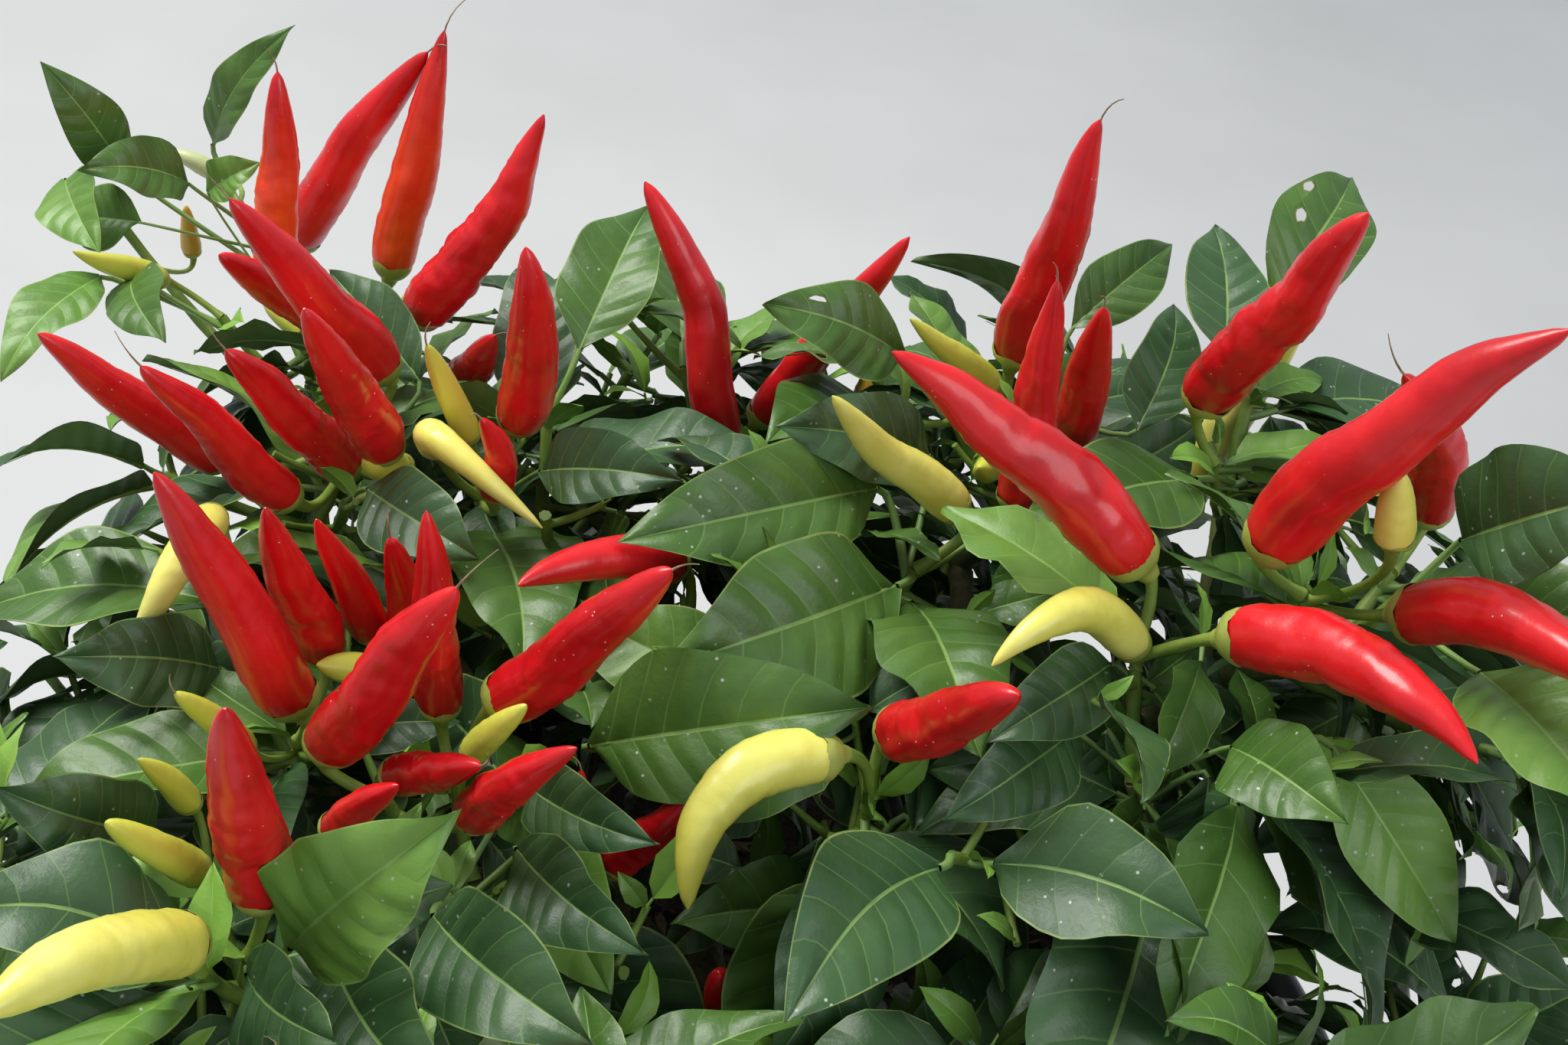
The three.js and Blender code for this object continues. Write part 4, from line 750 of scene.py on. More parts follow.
def grow_all():
    trunk = balls_along(trunk_curve(), (FLARE_RADIUS, TRUNK_RADIUS, TRUNK_TIP_RADIUS), 8)
    grown.remember(LIMB, -1, -1, trunk)
    for name, bough in BOUGHS.items():
        radii = (root_radius_of(name), bough.radius)
        grown.remember(LIMB, -1, -1, balls_along(bough_curve(name), radii, 12))
    plans = [Plan(name) for name in NAMES]
    for plan in plans:
        grown.remember(TWIG, plan.key, -1, balls_along(plan.stem, (STEM_RADIUS, STEM_TIP_RADIUS), 8))
    for plan in plans:
        for colour, foot, tip, girth, *bend in plan.mass.pods:
            plan.add_pod(plan.sprig_for(vec(foot)), colour, pod_curve(foot, tip, *bend), girth)
    for plan in plans:
        for tone, foot, tip, width in plan.mass.leaves:
            foot, tip = vec(foot), vec(tip)
            sprig = plan.sprig_for(foot)
            root = plan.next_root(plan.sprigs[sprig])
            plan.add_leaf(sprig, root, foot, tip, width, facing_roll(foot, tip), "known", tone)
    rounds = [(plan_sprigs,), (plan_pods,)] + [(plan_leaves, turn_of) for turn_of in range(len(LEAF_ROUNDS))]
    rounds += [(plan_shoots,), (plan_tufts,)]
    rounds += [(plan_fill, turn_of) for turn_of in range(len(FILL_LENGTHS))]
    for step, *turn_of in rounds:
        for plan in plans:
            step(plan, *turn_of)
    part_pods([pod for plan in plans for pod in plan.pods])
    return plans

def link_mesh(name, mesh):
    piece = bpy.data.objects.new(name, mesh)
    bpy.context.scene.collection.objects.link(piece)
    return piece


def round_turns(sides):
    """Angles that go once round."""
    return np.linspace(0, 2 * np.pi, sides, endpoint=False)


class Builder:
    """Gathers vertices and faces of many small shapes for one joined mesh."""

    def __init__(self):
        self.vertices, self.faces, self.slots = [], [], []
        self.count = 0

    def add(self, vertices, faces, slots):
        """vertices (N, 3) in millimetres, faces (M, 3 or 4), slots one number or (M,)."""
        self.vertices.append(np.asarray(vertices, float).reshape(-1, 3))
        self.faces.append(np.asarray(faces, int) + self.count)
        self.slots.append(np.broadcast_to(np.asarray(slots, int), (len(faces),)))
        self.count += len(self.vertices[-1])

    def add_fan(self, ring, centre, slot, flip=False):
        """Triangles from the sides of a ring to its centre."""
        sides = np.arange(len(ring))
        fan = np.stack([sides, (sides + 1) % len(ring), np.full(len(ring), len(ring))], 1)
        self.add(np.vstack([ring, centre]), fan[:, ::-1] if flip else fan, slot)

    def make(self, name, materials, smooth=True):
        mesh = bpy.data.meshes.new(name)
        vertices = np.concatenate(self.vertices) * MM
        corners = np.concatenate([f.ravel() for f in self.faces])
        sizes = np.concatenate([np.full(len(f), f.shape[1]) for f in self.faces])
        mesh.vertices.add(len(vertices))
        mesh.vertices.foreach_set("co", vertices.astype(np.float32).ravel())
        mesh.loops.add(len(corners))
        mesh.loops.foreach_set("vertex_index", corners.astype(np.int32))
        mesh.polygons.add(len(sizes))
        starts = np.cumsum(sizes) - sizes
        mesh.polygons.foreach_set("loop_start", starts.astype(np.int32))
        mesh.polygons.foreach_set("loop_total", sizes.astype(np.int32))
        mesh.polygons.foreach_set("material_index", np.concatenate(self.slots).astype(np.int32))
        mesh.polygons.foreach_set("use_smooth", np.full(len(sizes), smooth))
        mesh.update(calc_edges=True)
        mesh.validate()
        for made in materials:
            mesh.materials.append(made)
        return link_mesh(name, mesh)


def grid_faces(rows, columns, closed=False):
    """Quads of a grid of points, row by row, with its last column joined to its first or not."""
    r = np.arange(rows - 1)[:, None] * columns
    c = np.arange(columns if closed else columns - 1)[None, :]
    after = (c + 1) % columns
    return np.stack([r + c, r + after, r + columns + after, r + columns + c], axis=-1).reshape(-1, 4)


def tube(builder, line, radius, sides, slot, slide=None, capped=True):
    """A tube along a line of points (R, 3); radius is (R,) or (R, sides)."""
    rows = len(line)
    tangent = np.gradient(line, axis=0)
    tangent /= np.linalg.norm(tangent, axis=1, keepdims=True)
    side = UP if abs(unit(line[-1] - line[0])[2]) < 0.9 else vec((1, 0, 0))
    across = np.cross(side, tangent)
    across /= np.linalg.norm(across, axis=1, keepdims=True)
    rise = np.cross(tangent, across)
    turn = round_turns(sides)[:, None]
    ring = across[:, None, :] * np.cos(turn) + rise[:, None, :] * np.sin(turn)
    radius = np.asarray(radius, float)
    radius = np.broadcast_to(radius[:, None] if radius.ndim == 1 else radius, (rows, sides))
    points = line[:, None, :] + ring * radius[..., None]
    if slide is not None:
        points = points + tangent[:, None, :] * slide[..., None]
    slots = np.broadcast_to(np.asarray(slot), (rows - 1, sides))
    builder.add(points, grid_faces(rows, sides, closed=True), slots.ravel())
    if capped:
        for row in (0, -1):
            builder.add_fan(points[row], points[row].mean(axis=0), slots[row, 0], flip=row == 0)


# The leaf's outline: half its width at shares of the midrib, as a share of the widest
OUTLINE_AT = np.array([
    0, 0.03, 0.07, 0.12, 0.18, 0.25, 0.32, 0.4, 0.48, 0.56, 0.64, 0.72, 0.79, 0.86, 0.92, 0.97, 1])
OUTLINE = np.array([
    0.05, 0.16, 0.36, 0.6, 0.8, 0.93, 0.99, 1, 0.975, 0.92, 0.83, 0.71, 0.57, 0.4, 0.235, 0.09, 0.01])
BASE_ROWS = (0.0, 0.015, 0.04)
TIP_ROWS = (0.93, 0.975, 1.0)
VEIN_HALF = 0.0036
MIDRIB = 0.03
EDGE = 0.975
VEIN_SLANT = 0.42

# Material slots of a leaf piece: blade, side vein, midrib and a pale margin strip that paints a
# highlight along the edge, for each of four tones, the underside, and the brown of a bitten edge
TONES = {"dark": 0, "mid": 4, "fresh": 8, "young": 12}
SIDE_VEIN, RIB, EDGE_HIGHLIGHT = 1, 2, 3
UNDERSIDE = 16
BITTEN = 17


def leaf_rows(veins, stripes, between):
    """Rows of a leaf's grid: where each leaves the midrib, whether a vein follows it, and its swell."""
    rows = [*zip(BASE_ROWS, (False,) * 3, (0.0, 0.2, 0.5))]
    for at, following in zip(veins, (*veins[1:], TIP_ROWS[0])):
        rows += [(at - VEIN_HALF, True, 0), (at + VEIN_HALF, False, 0)] if stripes else [(at, False, 0)]
        rows += [(at + (following - at) * (n + 1) / (between + 1), False, 1) for n in range(between)]
    rows += zip(TIP_ROWS, (False,) * 3, (0.4, 0.2, 0.0))
    return [np.array(part) for part in zip(*rows)]


def leaf_grid(veins, columns, stripes=True, between=1):
    """The shared grid of a size of leaf: shares along and across, lift between veins, and faces."""
    start, is_vein, lift = leaf_rows(veins, stripes, between)
    half = np.array(columns)
    reach = VEIN_SLANT * np.sqrt(start) * (1 - start)
    along = start[:, None] + reach[:, None] * half**1.25
    along = np.concatenate([along[:, ::-1], along[:, 1:]], axis=1)
    across = np.concatenate([-half[::-1], half[1:]])
    strip = np.abs(across)
    middle = (strip[:-1] + strip[1:]) / 2
    kind = np.zeros((len(start) - 1, len(middle)), int)
    kind[is_vein[:-1, None] & (middle < EDGE)] = SIDE_VEIN
    kind[:, middle < MIDRIB] = RIB
    # The outermost strip is painted paler: a painted highlight along the leaf's edge
    kind[:, middle > EDGE] = EDGE_HIGHLIGHT
    return {
        "along": along, "side": across * np.interp(along, OUTLINE_AT, OUTLINE),
        "across": np.broadcast_to(across, along.shape),
        "swell": lift[:, None] * (4 * strip * (1 - strip)), "kind": kind, "faces": grid_faces(*along.shape)}


FULL_VEINS = (0.075, 0.18, 0.3, 0.43, 0.57, 0.72)
SMALL_VEINS = (0.12, 0.3, 0.5, 0.7)
GRIDS = {
    "full": leaf_grid(FULL_VEINS, (0, 0.026, 0.32, 0.66, 0.968, 1), between=2),
    "full_under": leaf_grid(FULL_VEINS, (0, 0.32, 0.66, 1), stripes=False, between=2),
    "small": leaf_grid(SMALL_VEINS, (0, 0.03, 0.45, 0.968, 1)),
    "small_under": leaf_grid(SMALL_VEINS, (0, 0.45, 1), stripes=False),
    "young": leaf_grid((0.25, 0.55), (0, 0.04, 0.55, 1)),
}
GRID_OF = {"known": "full", "full": "full", "small": "small", "young": "young"}
PETIOLES = {"known": 0.02, "full": 0.13, "small": 0.14, "young": 0.1}
UNDERSIDE_DEPTH = 0.32
# Share of leaves whose edge gets no painted highlight
UNHIGHLIT_EDGE_SHARE = 0.4


def leaf_points(leaf, grid, key, below=0.0):
    """Points of one leaf's grid: arched, folded, waved at its margin and twisted a little."""
    foot, tip, half = leaf["foot"], leaf["tip"], leaf["width"] / 2
    along, across, face = leaf_frame(foot, tip, leaf["roll"])
    length = np.linalg.norm(tip - foot)
    luck = [chance(key, n, 81) for n in range(10)]
    bare = PETIOLES[leaf["size"]]
    share = bare + (1 - bare) * grid["along"]
    hand, edge = np.sign(grid["across"]), np.abs(grid["across"])
    play = 0.35 if leaf["size"] == "known" else 1
    wave, waves = luck[1] * 2 * np.pi, mix(1.5, 3.2, luck[2])
    uneven = 0.05 * np.sin(2 * np.pi * waves * 0.8 * grid["along"] + wave * 2 + 2 * hand)
    aside = grid["side"] * half * (1 + uneven + mix(-0.07, 0.07, luck[9]) * hand)
    sway = mix(-0.05, 0.09, luck[3]) * length * play * np.sin(np.pi * grid["along"])
    droop = mix(-0.02, 0.12, luck[5]) * length * np.clip(grid["along"] - 0.55, 0, 1) ** 2 * 4
    ripple = np.sin(waves * 2 * np.pi * grid["along"] + wave + 1.3 * hand)
    lift = LEAF_ARCH * length * 4 * share * (1 - share) - droop
    lift = lift + np.abs(aside) * mix(0.4, 1.7, luck[4]) * LEAF_FOLD
    lift = lift + ripple * edge**2 * half * 0.1
    lift = lift + grid["swell"] * half * 0.075 - np.where(edge < MIDRIB, 0.012, 0) * half
    lift = lift - below * (1 - 0.7 * edge**3)
    middle = foot + (tip - foot) * share[..., None]
    twist = (mix(-0.5, 0.5, luck[6]) * play * grid["along"])[..., None]
    upward = face * np.cos(twist) - across * np.sin(twist)
    aside_way = across * np.cos(twist) + face * np.sin(twist)
    return middle + aside_way * (aside + sway)[..., None] + upward * lift[..., None]


def add_leaf_shape(builder, leaf, key, tone, bitten):
    """A leaf's blade with its veins, its underside, its petiole, and its rib standing out below."""
    size, tone = GRID_OF[leaf["size"]], TONES[tone]
    grid, under = GRIDS[size], GRIDS.get(size + "_under")
    points = leaf_points(leaf, grid, key)
    kind = grid["kind"].copy()
    # Some leaves lose the painted edge highlight and keep the blade's colour there
    if chance(key, 7, 81) > 1 - UNHIGHLIT_EDGE_SHARE:
        kind[kind == EDGE_HIGHLIGHT] = 0
    keep = np.ones(kind.shape, bool)
    if bitten:
        bite_leaf(builder, points, keep, tone, key)
    builder.add(points, grid["faces"][keep.ravel()], kind[keep] + tone)
    if under and not bitten:
        below = leaf_points(leaf, under, key, UNDERSIDE_DEPTH)
        builder.add(below, under["faces"][:, [0, 3, 2, 1]], UNDERSIDE)
    thick = np.clip(np.linalg.norm(leaf["tip"] - leaf["foot"]) * 0.015, 0.22, 0.65)
    base, inner = points[0].mean(axis=0), points[3].mean(axis=0)
    line = Arc(leaf["root"], base - (inner - base) * 0.8, base).at(np.linspace(0, 1, 5))
    tube(builder, line, np.linspace(thick * 1.35, thick, 5), 5, tone + RIB, capped=False)
    if under:
        rib = points[:, points.shape[1] // 2][::3]
        face = leaf_frame(leaf["foot"], leaf["tip"], leaf["roll"])[2]
        taper = np.linspace(thick, thick * 0.15, len(rib))
        tube(builder, rib - face * thick * 0.55, taper, 4, tone + RIB, capped=False)


# Holes that insects have eaten lie between two side veins, in one of these columns of the grid
HOLE_COLUMNS = (1, 2, 3, 6, 7, 8)
HOLE_SIDES = 16
GAP_CELLS = 3


def bite_leaf(builder, points, keep, slot, key):
    """Cuts one to three ragged round holes into a leaf, each with a dry brown rim."""
    turn = round_turns(HOLE_SIDES)
    ring = np.stack([np.cos(turn), np.sin(turn)], axis=1)
    square = ring / np.abs(ring).max(axis=1, keepdims=True)
    for n in range(1 + int(chance(key, 9, 81) * 3)):
        gap = int(chance(key, 10 + n, 82) * (len(FULL_VEINS) - 1))
        row = len(BASE_ROWS) + 1 + gap * (GAP_CELLS + 1)
        column = HOLE_COLUMNS[int(chance(key, 20 + n, 82) * len(HOLE_COLUMNS))]
        if not keep[row, column]:
            continue
        keep[row:row + GAP_CELLS, column] = False
        ragged = 0.72 + 0.14 * np.cos(2 * turn + n + key) + 0.06 * np.cos(5 * turn + key)
        hole = ring * ragged[:, None]
        place = np.stack([square, hole, hole * 0.86]) / 2 + 0.5
        along, across = place[..., 0] * GAP_CELLS, place[..., 1:]
        cell = np.minimum(along.astype(int), GAP_CELLS - 1)
        share = (along - cell)[..., None]
        left, right = (
            mix(points[row + cell, side], points[row + cell + 1, side], share)
            for side in (column, column + 1))
        builder.add(mix(left, right, across), grid_faces(3, HOLE_SIDES, closed=True),
                    np.repeat([slot, BITTEN], HOLE_SIDES))


# A pod's outline from its calyx to its tip, as a share of its widest: a slender and a blunt one
POD_AT = np.array([0, 0.012, 0.03, 0.06, 0.11, 0.2, 0.32, 0.46, 0.6, 0.73, 0.84, 0.92, 0.97, 1])
POD_SLENDER = np.array([0.5, 0.68, 0.82, 0.92, 0.98, 1, 0.97, 0.9, 0.79, 0.64, 0.46, 0.29, 0.17, 0.03])
POD_BLUNT = np.array([0.55, 0.72, 0.86, 0.95, 1, 1, 0.98, 0.94, 0.87, 0.77, 0.62, 0.45, 0.28, 0.05])
SMOOTH_PODS = ("yellow", "lime")


def pod_outline(t, key):
    return np.interp(t, POD_AT, mix(POD_SLENDER, POD_BLUNT, chance(key, 1, 90) ** 1.3))


def pod_calm(t):
    """How far a pod's unevenness shows: not at its two ends."""
    return np.sin(np.pi * np.clip(t, 0, 1) ** 0.7)[:, None] ** 0.7


def pod_line(pod, t, key):
    """The pod's middle line, which wanders a little off its curve."""
    start, length = chance(key, 4, 91) * 900, pod["curve"].length()
    wander = np.array([[noise.noise((start, k * 9.0, a * length * 0.05)) for k in range(3)] for a in t])
    return pod["curve"].at(t) + pod_calm(t) * wander * 1.6


def pod_shape(builder, pod, key, slots, sides=22, steps=46):
    """A pod from its calyx to its pointed tip, a little lobed, lumpy and wrinkled across."""
    t = np.concatenate([
        np.linspace(0, 0.07, 7)[:-1], np.linspace(0.07, 0.94, steps)[:-1], np.linspace(0.94, 1, 6)])
    turn = round_turns(sides)
    lobes = 2 + int(chance(key, 2, 91) * 2)
    lobe = 0.035 * np.cos(lobes * turn + chance(key, 1, 91) * 6.28 + 1.2 * t[:, None])
    length = pod["curve"].length()
    wrinkled = mix(0.4, 1.5, chance(key, 3, 91)) * (0.55 if pod["colour"] in SMOOTH_PODS else 1)
    start = chance(key, 4, 91) * 900
    relief, shade = np.zeros((2, len(t), sides))
    for i, u in enumerate(t * length):
        for j, (x, y) in enumerate(zip(np.cos(turn), np.sin(turn))):
            lump = noise.noise((x * 0.8 + start, y * 0.8, u * 0.075))
            dent = noise.noise((x * 1.3 + start, y * 1.3, u * 0.2 + 30))
            crease = 0.4 - abs(noise.noise((x * 1.1 + start, y * 1.1, u * 0.42 + 60)))
            relief[i, j] = 0.12 * lump + wrinkled * (0.1 * dent + 0.12 * crease)
            shade[i, j] = noise.noise((x * 1.5, y * 1.5, u * 0.12 + start))
    radius = pod["girth"] / 2 * pod_outline(t, key)[:, None] * (1 + pod_calm(t) * (lobe + relief))
    place = np.clip((t[:-1, None] + 0.16 * shade[:-1]) * len(slots), 0, len(slots) - 1).astype(int)
    tube(builder, pod_line(pod, t, key), radius, sides, np.asarray(slots)[place])


# Rows of a calyx, in girths of its pod from the pod's base, and the radius of those behind the base
CALYX_ROWS = np.array([-0.32, -0.22, -0.14, -0.08, -0.02, 0.05, 0.12, 0.19, 0.24])
CALYX_SIDES = 20
CALYX_TEETH = 5

# Material slots of the calyx, the stalk and the dried thread beside those of the pods' skins
CALYX, STALK, THREAD = 10, 11, 12


def calyx_shape(builder, pod, key):
    """The cup round the pod's base, with five blunt teeth, on its thickened stalk."""
    girth = pod["girth"]
    ahead = CALYX_ROWS * girth
    share = np.clip(ahead / pod["curve"].length(), 0, 1)
    over_pod = pod_outline(share, key) + np.interp(CALYX_ROWS, (0, 0.12, 0.24), (0.22, 0.1, 0.005))
    cup = np.interp(CALYX_ROWS, (-0.32, -0.14, -0.08, 0), (0.28, 0.42, 0.6, 0.74))
    radius = np.where(ahead < 0, cup, over_pod) * girth / 2
    line = pod_line(pod, share, key) + pod["curve"].tangent(0) * np.minimum(ahead, 0)[:, None]
    teeth = np.cos(CALYX_TEETH * round_turns(CALYX_SIDES) + chance(key, 1, 95) * 6)
    slide = np.zeros((len(ahead), CALYX_SIDES))
    slide[-2:] = teeth * np.array([[0.025], [0.05]]) * girth
    tube(builder, line, radius, CALYX_SIDES, CALYX, slide, capped=False)


def stalk_shape(builder, pod):
    root, towards, _ = pod["stalk"].points
    end = pod["curve"].at(0) - pod["curve"].tangent(0) * pod["girth"] * 0.2
    share = np.linspace(0, 1, 10)
    radius = np.interp(share, (0, 0.1, 0.6, 0.88, 1), (1.3, 0.95, 0.9, 1.15, 1.5)) * min(1, pod["girth"] / 7)
    tube(builder, Arc(root, towards, end).at(share), radius, 8, STALK)


def style_shape(builder, pod, key):
    """The dried thread that some pods keep at their tip."""
    tip, way = pod["curve"].at(1), pod["curve"].tangent(1)
    aside = unit(np.cross(way, vec((chance(key, 7, 96) - 0.5, chance(key, 8, 96) - 0.5, 0.3))))
    reach = mix(3, 8, chance(key, 9, 96))
    line = Arc(tip - way, tip + way * reach * 0.6, tip + way * reach + aside * reach * 0.5)
    tube(builder, line.at(np.linspace(0, 1, 6)), np.linspace(0.22, 0.08, 6), 4, THREAD)


def twig_shape(builder, curve, radii, sides, slot, rows=10):
    """A green twig, a little angular, with slight joints along it."""
    share = np.linspace(0, 1, rows)
    radius = np.interp(share, np.linspace(0, 1, len(radii)), radii)
    joints = 1 + 0.1 * np.cos(share * 3 * 2 * np.pi)
    ridge = 1 + 0.07 * np.cos(4 * round_turns(sides))
    tube(builder, curve.at(share), (radius * joints)[:, None] * ridge, sides, slot)

def plug(tree, made, inputs):
    """Gives a node its inputs: another node's output is linked, anything else is a plain value."""
    for name, value in inputs.items():
        if isinstance(value, bpy.types.NodeSocket):
            tree.links.new(value, made.inputs[name])
        else:
            made.inputs[name].default_value = value
    return made


def node(tree, kind, inputs):
    return plug(tree, tree.nodes.new("ShaderNode" + kind), inputs)


def textured(name, colours, rough, scale, bump=0.0, bump_scale=None, bump_distance=0.0002,
             contrast=(0.35, 0.65), stretch=None, specular=0.5, coat=0.0, speck=None):
    """A material whose colour varies between a few close tones, with a relief of its own.

    colours is a list of linear (r, g, b) tones; speck is (colour, scale, size) of small flecks.
    """
    made = bpy.data.materials.new(name)
    made.use_nodes = True
    tree = made.node_tree
    place = tree.nodes.new("ShaderNodeTexCoord").outputs["Object"]
    if stretch:
        place = node(tree, "Mapping", {"Vector": place, "Scale": stretch}).outputs["Vector"]
    spread = node(tree, "TexNoise", {"Vector": place, "Scale": scale, "Detail": 4.0, "Roughness": 0.6})
    ramp = node(tree, "ValToRGB", {"Fac": spread.outputs["Fac"]})
    steps = ramp.color_ramp.elements
    for i, colour in enumerate(colours):
        at = mix(*contrast, i / max(1, len(colours) - 1))
        step = steps[i] if i < 2 else steps.new(at)
        step.position = at
        step.color = (*colour, 1)
    colour_out = ramp.outputs["Color"]
    if speck:
        colour_out = add_specks(tree, place, colour_out, *speck)
    patches = node(tree, "TexNoise", {"Vector": place, "Scale": scale * 2.3, "Detail": 3.0})
    gloss = node(tree, "MapRange", {
        "Value": patches.outputs["Fac"], "To Min": rough[0], "To Max": rough[1]})
    shader = plug(tree, tree.nodes["Principled BSDF"], {
        "Base Color": colour_out, "Roughness": gloss.outputs["Result"], "Specular IOR Level": specular,
        "Coat Weight": coat, "Coat Roughness": 0.12})
    if bump:
        grain = node(tree, "TexNoise", {
            "Vector": place, "Scale": bump_scale or scale * 6, "Detail": 5.0, "Roughness": 0.65})
        relief = node(tree, "Bump", {
            "Strength": bump, "Distance": bump_distance, "Height": grain.outputs["Fac"]})
        plug(tree, shader, {"Normal": relief.outputs["Normal"]})
    return made


def add_specks(tree, place, under, colour, scale, size):
    """Flecks at the hearts of small cells, only where a wide noise is high."""
    cells = node(tree, "TexVoronoi", {"Vector": place, "Scale": scale})
    heart = node(tree, "MapRange", {
        "Value": cells.outputs["Distance"], "From Min": size, "From Max": size * 0.6})
    some = node(tree, "TexNoise", {"Vector": place, "Scale": scale * 0.12, "Detail": 2.0})
    often = node(tree, "MapRange", {"Value": some.outputs["Fac"], "From Min": 0.5, "From Max": 0.62})
    both = node(tree, "Math", {0: heart.outputs["Result"], 1: often.outputs["Result"]})
    both.operation = "MULTIPLY"
    return blended(tree, both.outputs["Value"], under, colour)


def blended(tree, share, under, colour):
    """The colour under, turned to another one by a share that is itself a socket."""
    mixed = tree.nodes.new("ShaderNodeMix")
    mixed.data_type = "RGBA"
    plug(tree, mixed, {0: share, 6: under, 7: (*colour, 1)})
    return mixed.outputs[2]


def blend(one, other, share):
    return tuple(mix(a, b, share) for a, b in zip(one, other))


# Side veins and midribs turn from the blade's colour towards these, and the margin strip towards a pale tint
# that paints a highlight along the leaf's edge
SIDE_TINT, RIB_TINT, EDGE_HIGHLIGHT_TINT = (0.3, 0.5, 0.14), (0.3, 0.48, 0.13), (0.36, 0.45, 0.12)


def leaf_materials():
    """Blade, side vein, midrib and a painted edge highlight in four tones, then the underside and a bitten
    edge.
    """
    dust = ((0.45, 0.48, 0.42), 420, 0.13)
    blade = dict(scale=48, bump=0.35, bump_scale=420, bump_distance=0.0004, contrast=(0.3, 0.7))
    vein = dict(scale=120, bump=0.2, bump_scale=1500, bump_distance=0.0001, specular=0.45)
    tones = {
        "dark": ((0.026, 0.072, 0.02), (0.036, 0.092, 0.028), (0.05, 0.115, 0.032), 0.6, dust),
        "mid": ((0.042, 0.108, 0.014), (0.06, 0.14, 0.02), (0.085, 0.175, 0.028), 0.6, dust),
        "fresh": ((0.085, 0.2, 0.025), (0.12, 0.25, 0.035), (0.16, 0.3, 0.05), 0.55, dust),
        "young": ((0.15, 0.33, 0.035), (0.2, 0.4, 0.05), (0.26, 0.46, 0.075), 0.5, None)}
    made = []
    for name, (low, middle, high, share, speck) in tones.items():
        side, rib = blend(middle, SIDE_TINT, 0.2), blend(middle, RIB_TINT, share)
        # edge is the pale tint of the painted highlight along the leaf's margin
        edge = blend(middle, EDGE_HIGHLIGHT_TINT, share)
        made += [
            textured("leaf_" + name, [low, middle, high], (0.32, 0.5), speck=speck, **blade),
            textured("vein_" + name, [middle, side], (0.4, 0.52), contrast=(0.2, 0.55), **vein),
            textured("rib_" + name, [side, rib], (0.42, 0.52), contrast=(0.25, 0.55), **vein),
            textured("edge_highlight_" + name, [side, edge], (0.4, 0.55), **vein)]
    return made + [
        textured("leaf_under", [(0.085, 0.165, 0.06), (0.125, 0.215, 0.08)], (0.5, 0.62), **blade),
        textured("leaf_bitten", [(0.16, 0.1, 0.035), (0.3, 0.24, 0.1)], (0.6, 0.8), **vein)]


# A ripening pod's shades, from nearly red at its tip to orange at its calyx
RIPE, RIPE_LIT = (0.62, 0.005, 0.009), (0.74, 0.011, 0.013)
UNRIPE, UNRIPE_LIT = (0.84, 0.052, 0.006), (0.92, 0.085, 0.01)
RIPE_SHADES = 6


def pod_materials():
    skin = dict(scale=70, bump=0.25, bump_scale=380, bump_distance=0.00035, coat=0.2)
    stem = dict(scale=160, bump=0.4, bump_scale=900)
    fleck = ((0.75, 0.62, 0.5), 500, 0.08)
    shades = [n / RIPE_SHADES for n in range(1, RIPE_SHADES + 1)]
    ripening = [[blend(RIPE, UNRIPE, share), blend(RIPE_LIT, UNRIPE_LIT, share)] for share in shades]
    return [
        textured("pod_red", [(0.52, 0.003, 0.006), (0.66, 0.006, 0.01), (0.76, 0.012, 0.014)],
                 (0.27, 0.4), speck=fleck, **skin),
        textured("pod_red_dark", [(0.45, 0.003, 0.006), (0.58, 0.005, 0.009)], (0.28, 0.4), **skin),
        *[textured("pod_ripe_%d" % (n + 1), ripening[n], (0.26, 0.38), **skin) for n in range(RIPE_SHADES)],
        textured("pod_yellow", [(0.68, 0.64, 0.09), (0.77, 0.73, 0.14), (0.84, 0.8, 0.2)],
                 (0.3, 0.44), **skin),
        textured("pod_lime", [(0.55, 0.6, 0.06), (0.64, 0.66, 0.09)], (0.3, 0.44), **skin),
        textured("calyx", [(0.26, 0.33, 0.05), (0.4, 0.43, 0.09)], (0.42, 0.55), **stem),
        textured("stalk_green", [(0.15, 0.24, 0.028), (0.24, 0.34, 0.05)], (0.45, 0.58), **stem),
        textured("style_thread", [(0.2, 0.12, 0.06), (0.4, 0.3, 0.18)], (0.7, 0.85), scale=400),
        textured("pod_pale", [(0.42, 0.5, 0.2), (0.55, 0.6, 0.32)], (0.35, 0.48), **skin),
        textured("pod_amber", [(0.5, 0.3, 0.03), (0.66, 0.42, 0.05)], (0.3, 0.44), **skin)]


def wood_materials():
    bark = dict(scale=140, bump_scale=700)
    return [
        textured("twig_green", [(0.1, 0.19, 0.025), (0.14, 0.24, 0.03), (0.2, 0.3, 0.05)],
                 (0.45, 0.6), bump=0.4, **bark),
        textured("twig_olive", [(0.13, 0.17, 0.045), (0.19, 0.22, 0.07)], (0.5, 0.65), bump=0.5, **bark)]

# Sprays of foliage are joined in four pieces, by the quarter of the crown they grow in
QUARTERS = {
    "leaves_back_left": ("foliage_back_left", "foliage_left_upper", "foliage_middle_left", "foliage_back",
                         "foliage_back_left_outer", "foliage_left_outer"),
    "leaves_front_left": ("foliage_left", "foliage_near_left", "foliage_front_left",
                          "foliage_left_front_outer", "foliage_front"),
    "leaves_back_right": ("foliage_back_right", "foliage_right_back", "foliage_back_right_outer",
                          "foliage_right_low", "foliage_right", "foliage_middle_right"),
    "leaves_front_right": ("foliage_near_right", "foliage_near_middle", "foliage_right_outer",
                           "foliage_front_right", "foliage_front_outer", "foliage_middle"),
}

# Large leaves have the letter of their tone, a capital where insects have eaten them; the others get a
# darker tone the deeper they lie under the crown's top: painted shade, besides the darker green of inner
# leaves
TONE_LETTERS = {"d": "dark", "m": "mid", "f": "fresh"}
FRESH_LIGHT = {"full": 0.82, "small": 0.62}
MID_LIGHT = {"full": 0.42, "small": 0.2}
SHADE_DEPTH = 160
BRIGHT_SHARE = 0.5
BITTEN_SHARE = 0.12


